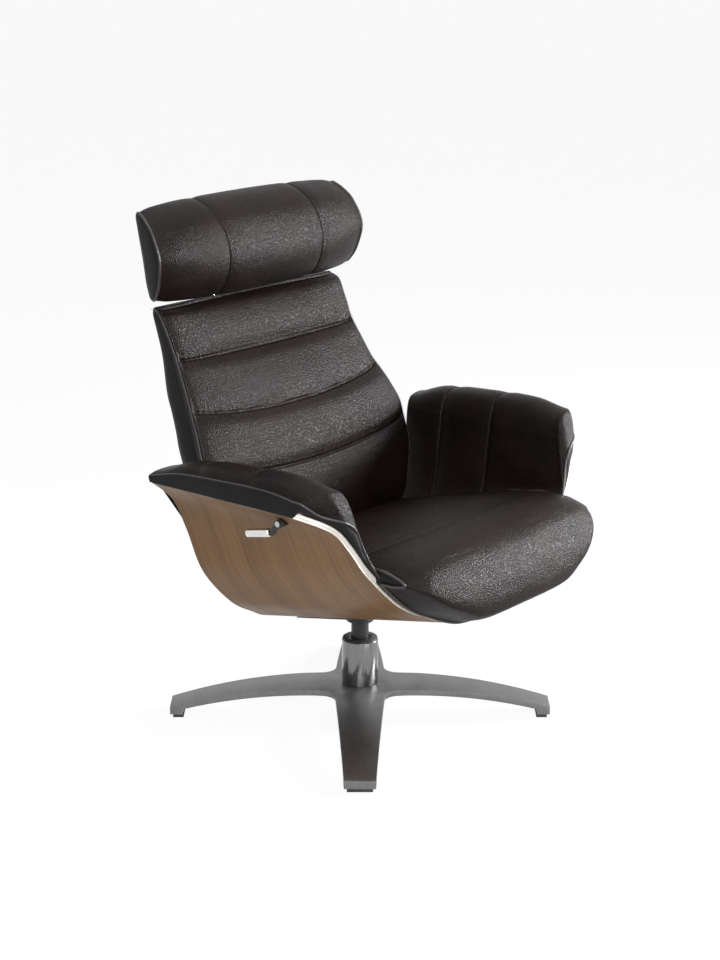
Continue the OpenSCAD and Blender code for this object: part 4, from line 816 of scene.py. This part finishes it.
def build_seat():
    """Seat: rings round the front at each u, closed along the shell under it; the top is sewn across near the
    front, and the sides end in a panel behind a welt."""
    def ring(u, v, low):
        top = seat_point(*np.meshgrid(u, v, indexing="ij"))
        uu, ll = np.meshgrid(u, low, indexing="ij")
        x = uu * SEAT_HALF_W
        y = mix(shell_edge_y(x), SEAT_REAR, ll)
        ahead = (BOARD_REAR_Y - np.clip(y, BOARD_FRONT_Y, BOARD_REAR_Y)) / (BOARD_REAR_Y - BOARD_FRONT_Y)
        board = BOARD_REAR_Z + BOARD_RISE * ahead + BOARD_T
        under = np.stack([x, y, np.maximum(shell_top_z(x, y) + SEAT_GAP, board)], -1)
        under[:, 0, 2] = np.minimum(under[:, 0, 2], top[:, -1, 2] + 0.6)
        return top, under

    along_c, round_c, low_c = SEAT_COARSE
    u_c, v_c = np.sin(np.linspace(-1, 1, along_c) * np.pi / 2), np.linspace(0, 1, round_c)
    top_c, under_c = ring(u_c, v_c, np.linspace(0, 1, low_c))
    coarse = np.concatenate([top_c, under_c], 1)
    hold = np.zeros(coarse.shape[:2])
    hold[:2] = hold[-2:] = 1
    first, rising, last = SEAT_HELD
    hold[:, rising:last] = np.linspace(0, 1, last - rising)
    hold[:, :first] = hold[:, last:] = 1
    hold[:, np.argmin(np.abs(v_c - SEAT_SEAM_V))] = 0.5
    delta = swell(coarse, hold, *SEAT_FILL)[:, :len(v_c)]
    u = np.sin(packed(SEAT_FINE[0], -1, 1, (-0.86, 0.86), 0.05, 1.5) * np.pi / 2)
    v = packed(SEAT_FINE[1], 0, 1, (SEAT_SEAM_V,), 0.02, 4)
    top, under = ring(u, v, np.linspace(0, 1, SEAT_FINE[2]))
    top = top + spread(delta, u_c, v_c, u, v)
    x = top[..., 0]
    seam = top[..., 1] - (SEAT_SEAM_Y + SEAT_SEAM_BOW * x ** 2)
    on_top = v < 0.55
    n = -facing(top, False)
    n = np.where((n[..., 2:] < 0) & on_top[:, None], -n, n)
    sink = crease(seam, *SEAT_DIP) * on_top + pucker(seam, x, 1.3, *SEAT_PUCKER) * on_top
    side = (1 - np.abs(u)[:, None]) * SEAT_HALF_W
    sink = rippled(sink + crease(side - 3, *SEAT_SIDE_DIP), top, SEAT_WAVES, 4, 5)
    edge_calm = np.clip(side / 8, 0, 1) * np.clip((1 - v[None]) / 0.06, 0, 1)
    top = top - n * (sink * edge_calm)[..., None]
    rings = np.concatenate([top, under], 1)
    n_u, m = rings.shape[:2]
    faces = grid_faces(n_u, m, True).tolist() + [list(range(m))[::-1], list(range((n_u - 1) * m, n_u * m))]
    seat = make("seat_leather", rings, faces, [0] * (len(faces) - 2) + [1, 1])
    dress(seat, "leather", "smooth")
    settle(seat, "seat", ["seat_cushion"])
    for side_x, label in SIDES:
        line = top[3 if side_x < 0 else n_u - 4, np.argmax(v > 0.30):] + [side_x * SEAT_GAP, 0, 0]
        line = line + np.stack([0 * line[:, 0], 0.8 * np.sin(line[:, 2] / 7.0), 0.8 * np.sin(line[:, 1] / 9.0)], -1)
        welt(f"seat_welt_{label}", even(line, WELT_STEP), WELT_R, (side_x, 0, 0), "seat")
    welt("seat_front_welt", even(top[6:-6, -1] + [0, -1.5, 0.5], 4), WELT_R, (0, 0, 1), "seat")
    return seat


def pad_rings(s, w, hid, side):
    """Rings of an arm pad at each s: the leather over w, and back along the shell's inner face."""
    ss, ww = np.meshgrid(s, w, indexing="ij")
    seen = pad_point(ss, ww, side)
    sh, th = np.meshgrid(s, np.minimum(np.linspace(PAD_HID_FROM, 1, hid), PAD_HID_TO), indexing="ij")
    under = shell_in(th, sh, PLY_T + PAD_GAP)
    under[..., 0] *= side
    return seen, under


def build_pad(side, label):
    """Arm pad: rings from tail to front closed by domes, with a smooth gusset below a welt on its outside and
    front, two sewn seams across it, and a skin swollen between them."""
    s_c, w_c = np.linspace(0, 1, PAD_COARSE[0]), np.linspace(0, 1, PAD_COARSE[1])
    coarse = np.concatenate(pad_rings(s_c, w_c, PAD_COARSE[2], side), 1)
    hold = np.zeros(coarse.shape[:2])
    hold[:, :PAD_HELD[0]] = hold[:, PAD_HELD[1]:] = hold[:1] = hold[-2:] = 1
    for seam_y in ARM_SEAMS:
        hold = np.maximum(hold, (np.abs(coarse[..., 1] - seam_y) < 4) * 0.7)
    delta = swell(coarse, hold, *PAD_FILL)[:, :len(w_c)]
    s = packed(PAD_FINE[0], 0, 1, (0.25, 0.6), 0.03, 3)
    w = packed(PAD_FINE[1], 0, 1, (PAD_RIM,), 0.03, 3)
    seen, under = pad_rings(s, w, PAD_FINE[2], side)
    seen = seen + spread(delta, s_c, w_c, s, w)
    n = facing(seen, False) * side
    n = np.where((n[..., 2:] < -0.5) & (seen[..., 2:] > PAD_UP_Z), -n, n)
    ww = np.broadcast_to(w[None], seen.shape[:2])
    body = np.clip((ww - PAD_RIM) / 0.02, 0, 1)
    sink = rippled(0, seen, PAD_WAVES, 21 + side, 7)
    for k, seam_y in enumerate(ARM_SEAMS):
        away = seen[..., 1] - seam_y
        folds = pucker(away, seen[..., 2] + seen[..., 0], k, *PAD_PUCKER)
        sink = sink + body * (crease(away, *PAD_DIP) + folds)
    sink = sink + crease((ww - PAD_RIM) * PAD_GIRTH, *PAD_RIM_DIP)
    calm = np.clip(np.minimum(s, 1 - s)[:, None] / 0.02, 0, 1) * np.clip((1 - ww) / 0.05, 0, 1)
    seen = seen - n * (sink * calm)[..., None]
    body_rings = np.concatenate([seen, under], 1)
    n_w = len(w)
    grow, lead = dome(12, 2.0)

    def fold(ring, ahead, bulge):
        """Rings that close an end: they draw in to the line of the shell's face, ahead and out by a bulge."""
        seen_row, hid_row = ring[:n_w], ring[n_w:]
        line = along(hid_row[::-1], np.linspace(0, 1, n_w) ** 0.9)
        out = []
        puff = bulge * np.sin(np.pi * np.clip((w - 0.04) / 0.62, 0, 1)) ** 0.7 + 3 * w
        for g, k in zip(grow, lead):
            moved = mix(line, seen_row, g)
            moved[:, 1] -= np.sign(ahead) * (abs(ahead) * k + puff * k * np.sqrt(g))
            rear = hid_row.copy()
            rear[:, 1] -= ahead * k
            out.append(np.concatenate([moved, rear]))
        return np.array(out)

    nose = fold(body_rings[-1], PAD_CAP, PAD_NOSE)
    end = fold(body_rings[0], -PAD_CAP, PAD_TAIL)[::-1]
    rings = np.concatenate([end, body_rings, nose])
    marks = np.ones(rings.shape[:2], int)
    leathered = np.zeros(rings.shape[1], bool)
    leathered[:n_w] = w >= PAD_RIM
    edge_ring = int(np.argmax(grow < 0.42))
    marks[:len(end) + len(s) - 1 + max(edge_ring, 1), leathered] = 0
    pad = rings_mesh(f"arm_pad_{label}_leather", rings, marks)
    dress(pad, "leather", "smooth")
    settle(pad, "seat", [f"arm_pad_{label}"])
    rim = np.argmin(np.abs(w - PAD_RIM))
    out = seen[:, rim] + [side * 1.0, 0, 0]
    bend = nose[:edge_ring, rim]
    over = nose[edge_ring, rim:int(n_w * 0.97)] + [0, -0.8, 0]
    path = even(np.concatenate([out[:-1], bend, over]), WELT_STEP)
    path = np.stack([np.convolve(np.pad(path[:, i], 3, "edge"), np.ones(7) / 7, "valid") for i in range(3)], -1)
    welt(f"arm_welt_{label}", path, PAD_WELT_R, (side * 0.6, -0.5, 0.6), "seat")
    return pad


def lid(ring, up, count, flat, thin):
    """Rings that close an end of the back: they draw in to thin of the ring's depth and flat of its width, and
    go up along Z."""
    grow, lead = dome(count)
    r = np.repeat(ring[None], count, 0)
    r[..., 1] = mix(ring[:, 1].mean(), ring[None, :, 1], mix(thin, 1, grow[:, None]))
    r[..., 0] = ring[None, :, 0] * mix(flat, 1, grow[:, None])
    r[..., 2] = ring[None, :, 2] + up * lead[:, None]
    return r


def build_back():
    """Back: the leather face on a grid of b and u with three sewn channels, closed behind its welt, and the smooth
    cover of its sides and rear, closed against it."""
    b_c, u_c = np.linspace(0, 1, BACK_COARSE[0]), np.sin(np.linspace(-1, 1, BACK_COARSE[1]) * np.pi / 2)

    def face(b, u, behind):
        bb, uu = np.meshgrid(b, u, indexing="ij")
        front = back_point(bb, uu)
        c = along(BACK, b)
        ub = u[::-1][None] * np.ones((len(b), 1))
        rear = np.stack([ub * BACK_HALF_W * c[:, None, 3] * BACK_TUCK, (back_edge(b) + behind)[:, None] + 0 * ub,
                         (BACK_BOTTOM + BACK_H * c[:, 0])[:, None] + 0 * ub], -1)
        return front, rear

    front_c, rear_c = face(b_c, u_c, WELT_BACK)
    coarse = np.concatenate([front_c, rear_c[:, ::4]], 1)
    hold = np.zeros(coarse.shape[:2])
    hold[:, :1] = hold[:, len(u_c) - 1:] = hold[:1] = hold[-1:] = 1
    height = along(BACK, b_c)[:, 0]
    for share, smile in BACK_SEAMS:
        near = np.abs(height[:, None] - share - smile * u_c[None] ** 2) * BACK_H
        hold[:, :len(u_c)] = np.maximum(hold[:, :len(u_c)], (near < 4.5) * 1.0)
    delta = swell(coarse, hold, *BACK_FILL)[:, :len(u_c)]
    seam_b = [np.interp(share, height, b_c) for share, _ in BACK_SEAMS]
    b = packed(BACK_FINE[0], 0, 1, seam_b, 0.03, 3)
    u = np.sin(packed(BACK_FINE[1], -1, 1, (-0.9, 0.9), 0.1, 0.6) * np.pi / 2)
    front, rear = face(b, u, WELT_BACK)
    front = front + spread(delta, b_c, u_c, b, u)
    share_z = (front[..., 2] - BACK_BOTTOM) / BACK_H
    n = facing(front, False)
    n = np.where(n[..., 1:2] > 0, -n, n)
    sink = rippled(0, front, BACK_WAVES, 11, 12)
    for k, (share, smile) in enumerate(BACK_SEAMS):
        away = (share_z - share - smile * u[None] ** 2) * BACK_H
        sink = sink + crease(away, *BACK_DIP) + pucker(away, front[..., 0], k + 0.5, *BACK_PUCKER)
    side = (1 - np.abs(u))[None] * BACK_HALF_W
    calm = np.clip(side / 5, 0, 1) * np.clip(np.minimum(b, 1 - b)[:, None] / 0.02, 0, 1)
    front = front - n * (sink * calm)[..., None]
    rings = np.concatenate([front, rear[:, ::5]], 1)

    back = rings_mesh("back_leather", np.concatenate([lid(rings[0], -1, 7, 0.97, 0)[-2::-1], rings,
                                                      lid(rings[-1], 5, 7, 0.97, 0)[:-1]]))
    dress(back, "leather")
    settle(back, "back", ["back_cushion"])

    q = np.linspace(-1, 1, 90)
    bb, qq = np.meshgrid(np.linspace(0, 1, 150), q, indexing="ij")
    c = along(BACK, bb)
    edge, far = back_edge(bb) + WELT_BACK + 0.5, BACK_FOOT + BACK_RUN * c[..., 2]
    half = BACK_HALF_W * c[..., 3]
    turn = np.pi * qq / 2
    x = np.sign(qq) * half * np.abs(np.sin(turn)) ** COVER_SIDE
    y = edge + (far - edge) * np.cos(turn) ** COVER_REAR
    z = BACK_BOTTOM + BACK_H * c[..., 0]
    wrap = np.stack([x, y, z], -1)
    wrap[..., 1] = rippled(wrap[..., 1], wrap, COVER_WAVES, 31)
    flat_front = np.stack([wrap[:, ::-4, 0] * BACK_TUCK, edge[:, ::-4] + 0 * wrap[:, ::-4, 0], z[:, ::-4]], -1)[:, 1:-1]
    cover_rings = np.concatenate([wrap, flat_front], 1)
    cover = rings_mesh("back_cover_panels", np.concatenate([lid(cover_rings[0], -2, 6, 0.96, 0.1)[::-1], cover_rings,
                                                            lid(cover_rings[-1], 4, 6, 0.96, 0.1)]))
    dress(cover, "smooth")
    settle(cover, "back", ["back_cover"])
    c = along(BACK, b)
    for sx, label in SIDES:
        line = np.stack([sx * (BACK_HALF_W * c[:, 3] - 1.5), back_edge(b) + WELT_BACK - 0.5,
                         BACK_BOTTOM + BACK_H * c[:, 0]], -1)
        welt(f"back_welt_{label}", even(line, WELT_STEP), WELT_R, (sx, 0, 0), "back")
        for gap, tag in ((-WELT_STITCH, "front"), (WELT_STITCH, "rear")):
            row = line + [sx * (1.2 if gap > 0 else 0.2), gap, 0]
            sewn = stitches(f"back_stitches_{tag}_{label}", row, (sx, 0, 0))
            settle(dress(sewn, "welt"), "back")
    return back


def build_headrest():
    """Headrest: rings round the roll at each u with two sewn seams, and smooth end panels inside a welt."""
    u_c, f_c = np.linspace(-1, 1, HEAD_COARSE[0]), np.linspace(0, 1, HEAD_COARSE[1])
    coarse = head_point(*np.meshgrid(u_c, f_c, indexing="ij"))[:, :-1]
    hold = np.zeros(coarse.shape[:2])
    hold[:1] = hold[-1:] = 1
    hold[:, (f_c[:-1] < HEAD_FREE[0]) | (f_c[:-1] > HEAD_FREE[1])] = 1
    hold = np.maximum(hold, (np.abs(np.abs(coarse[..., 0]) - HEAD_SEAM_X) < 5) * 0.6)
    delta = swell(coarse, hold, *HEAD_FILL)
    delta = np.concatenate([delta, delta[:, :1]], 1)
    u = packed(HEAD_FINE[0], -1, 1, (-0.47, 0.47), 0.03, 3)
    f = np.linspace(0, 1, HEAD_FINE[1])
    rings = (head_point(*np.meshgrid(u, f, indexing="ij")) + spread(delta, u_c, f_c, u, f))[:, :-1]
    n = facing(rings, True)
    centre = rings.mean(1, keepdims=True)
    n = np.where(((rings - centre) * n).sum(-1, keepdims=True) < 0, -n, n)
    sink = rippled(0, rings, BACK_WAVES, 41, 42)
    for sx in (-1, 1):
        away = rings[..., 0] - sx * HEAD_SEAM_X
        folds = pucker(away, rings[..., 2] + rings[..., 1], sx + 3, *HEAD_PUCKER)
        sink = sink + crease(away, *HEAD_DIP) + folds
    calm = np.clip((1 - np.abs(u))[:, None] / 0.02, 0, 1)
    rings = rings - n * (sink * calm)[..., None]
    grow, lead = dome(8, 2.0)

    def cap(ring, sx):
        """Rings that close an end, drawn in to the ring's mean."""
        r = mix(ring.mean(0)[None, None], ring[None], grow[:-1, None, None])
        r[..., 0] += sx * HEAD_CAP * lead[:-1, None]
        return r

    left, right = cap(rings[-1], 1), cap(rings[0], -1)[::-1]
    all_rings = np.concatenate([right, rings, left])
    marks = np.ones(all_rings.shape[:2], int)
    marks[len(right):len(right) + len(rings) - 1] = 0
    head = rings_mesh("headrest_leather", all_rings, marks)
    dress(head, "leather", "smooth")
    settle(head, "headrest", ["headrest_cushion"])
    for ring, sx, label in ((rings[0], -1, "right"), (rings[-1], 1, "left")):
        welt(f"headrest_welt_{label}", ring + [sx * 0.5, 0, 0], HEAD_WELT_R, (sx, 0, 0), "headrest", closed=True)
    return head


def area_light(name, place, target, size, power):
    """Soft square lamp at a place, turned to a target."""
    lamp = bpy.data.lights.new(name, "AREA")
    lamp.shape, lamp.size, lamp.size_y, lamp.energy = "RECTANGLE", size[0], size[1], power
    obj = bpy.data.objects.new(name, lamp)
    bpy.context.scene.collection.objects.link(obj)
    obj.location = place
    obj.rotation_euler = (Vector(target) - Vector(place)).to_track_quat("-Z", "Y").to_euler()
    return obj


def straight(tree):
    """1 for rays from the camera, from gloss and through glass, and 0 for the rest."""
    rays = add(tree, "ShaderNodeLightPath").outputs
    return maths(tree, "MAXIMUM", rays["Is Camera Ray"],
                 maths(tree, "MAXIMUM", rays["Is Glossy Ray"], rays["Is Transmission Ray"]))


def build_stage():
    """Camera at the photograph's angle, a pale floor that keeps the shadow, soft lamps and a white surround."""
    scene = bpy.context.scene
    cam = bpy.data.objects.new("camera", bpy.data.cameras.new("camera"))
    scene.collection.objects.link(cam)
    cam.location = CAMERA_PLACE
    cam.rotation_euler = [math.radians(a) for a in CAMERA_TURN]
    cam.data.lens, cam.data.sensor_width = CAMERA_LENS, 36.0
    scene.camera = cam
    scene.view_settings.view_transform = "Standard"
    corners = [[x * FLOOR_SIDE, y * FLOOR_SIDE, 0] for x, y in ((-1, -1), (1, -1), (1, 1), (-1, 1))]
    floor = make("floor", corners, [[0, 1, 2, 3]], outward=False)
    made = bpy.data.materials.new("Pale floor")
    made.use_nodes = True
    tree = made.node_tree
    shader = tree.nodes["Principled BSDF"]
    shader.inputs["Base Color"].default_value = (0.85, 0.85, 0.85, 1)
    shader.inputs["Roughness"].default_value = 0.9
    glow = add(tree, "ShaderNodeEmission", {"Color": (1, 1, 1, 1), "Strength": 1.0})
    both = add(tree, "ShaderNodeMixShader", {0: maths(tree, "MULTIPLY", straight(tree), FLOOR_GLOW),
                                             1: shader.outputs[0], 2: glow.outputs[0]})
    tree.links.new(both.outputs[0], tree.nodes["Material Output"].inputs["Surface"])
    floor.data.materials.append(made)
    for lamp in LAMPS:
        area_light(*lamp)
    world = scene.world or bpy.data.worlds.new("world")
    scene.world = world
    world.use_nodes = True
    background = world.node_tree.nodes["Background"]
    background.inputs["Color"].default_value = (1, 1, 1, 1)
    strength = spread_value(world.node_tree, straight(world.node_tree), 0.0, 1.0, WORLD_FILL, 1.0)
    world.node_tree.links.new(strength, background.inputs["Strength"])


class ReclinerSettings(bpy.types.PropertyGroup):
    """Sizes and colours that a user would change."""
    # The leather's two colours are a painted shaded copy for the pebble valleys and a painted lit copy, a painted
    # highlight, for the crowns; random tone also moves between them.
    leather_dark: FloatVectorProperty(name="Leather, shaded", description="Colour of the leather in its valleys",
                                      subtype="COLOR", size=3, default=(0.0017, 0.0010, 0.0009), min=0, max=1)
    leather_lit: FloatVectorProperty(name="Leather, lit", description="Colour of the leather on its crowns",
                                       subtype="COLOR", size=3, default=(0.007, 0.0032, 0.0028), min=0, max=1)
    walnut: FloatVectorProperty(name="Walnut", description="Middle colour of the veneer", subtype="COLOR", size=3,
                                default=(0.116, 0.057, 0.018), min=0, max=1)
    edge_width: FloatProperty(name="Edge rounding", description="Rounding of the metal edges, in millimetres",
                              default=1.0, min=0.2, max=3.0)


def ready(ok, what):
    """Stops an operator that can't finish."""
    if not ok:
        raise RuntimeError(what)


class RECLINER_OT_shell(bpy.types.Operator):
    """Build the veneered shell"""
    bl_idname = "recliner.shell"
    bl_label = "Shell"

    def execute(self, context):
        ready(build_shell(), "the shell could not be built")
        return {"FINISHED"}


class RECLINER_OT_seat(bpy.types.Operator):
    """Build the seat leather and its welts"""
    bl_idname = "recliner.seat"
    bl_label = "Seat"

    def execute(self, context):
        ready(build_seat(), "the seat could not be built")
        return {"FINISHED"}


class RECLINER_OT_pads(bpy.types.Operator):
    """Build both arm pads and their welts"""
    bl_idname = "recliner.pads"
    bl_label = "Arm pads"

    def execute(self, context):
        for side, label in SIDES:
            ready(build_pad(side, label), "an arm pad could not be built")
        return {"FINISHED"}


class RECLINER_OT_back(bpy.types.Operator):
    """Build the back's leather, cover, welts and stitches"""
    bl_idname = "recliner.back"
    bl_label = "Back"

    def execute(self, context):
        ready(build_back(), "the back could not be built")
        return {"FINISHED"}


class RECLINER_OT_headrest(bpy.types.Operator):
    """Build the headrest roll and its welts"""
    bl_idname = "recliner.headrest"
    bl_label = "Headrest"

    def execute(self, context):
        ready(build_headrest(), "the headrest could not be built")
        return {"FINISHED"}


class RECLINER_OT_hardware(bpy.types.Operator):
    """Round and finish the base, frame, lever and fasteners"""
    bl_idname = "recliner.hardware"
    bl_label = "Hardware"

    def execute(self, context):
        build_hardware()
        return {"FINISHED"}


class RECLINER_OT_stage(bpy.types.Operator):
    """Set the camera, floor and lamps"""
    bl_idname = "recliner.stage"
    bl_label = "Stage"

    def execute(self, context):
        build_stage()
        ready(context.scene.camera, "the scene has no camera")
        return {"FINISHED"}


class RECLINER_PT_panel(bpy.types.Panel):
    """Settings and steps of the recliner"""
    bl_idname = "RECLINER_PT_panel"
    bl_label = "Recliner"
    bl_space_type = "VIEW_3D"
    bl_region_type = "UI"
    bl_category = "Recliner"

    def draw(self, context):
        for name in ReclinerSettings.__annotations__:
            self.layout.prop(context.scene.recliner, name)
        for step in STEPS:
            self.layout.operator(step.bl_idname)


STEPS = (RECLINER_OT_stage, RECLINER_OT_hardware, RECLINER_OT_shell, RECLINER_OT_seat, RECLINER_OT_pads,
         RECLINER_OT_back, RECLINER_OT_headrest)
CLASSES = (ReclinerSettings, *STEPS, RECLINER_PT_panel)


def register():
    for item in CLASSES:
        bpy.utils.register_class(item)
    bpy.types.Scene.recliner = PointerProperty(type=ReclinerSettings)


def unregister():
    del bpy.types.Scene.recliner
    for item in reversed(CLASSES):
        bpy.utils.unregister_class(item)


def main():
    """Runs every step in order."""
    register()
    bpy.ops.recliner.stage()
    bpy.ops.recliner.hardware()
    bpy.ops.recliner.shell()
    bpy.ops.recliner.seat()
    bpy.ops.recliner.pads()
    bpy.ops.recliner.back()
    bpy.ops.recliner.headrest()


if __name__ == "__main__":
    main()
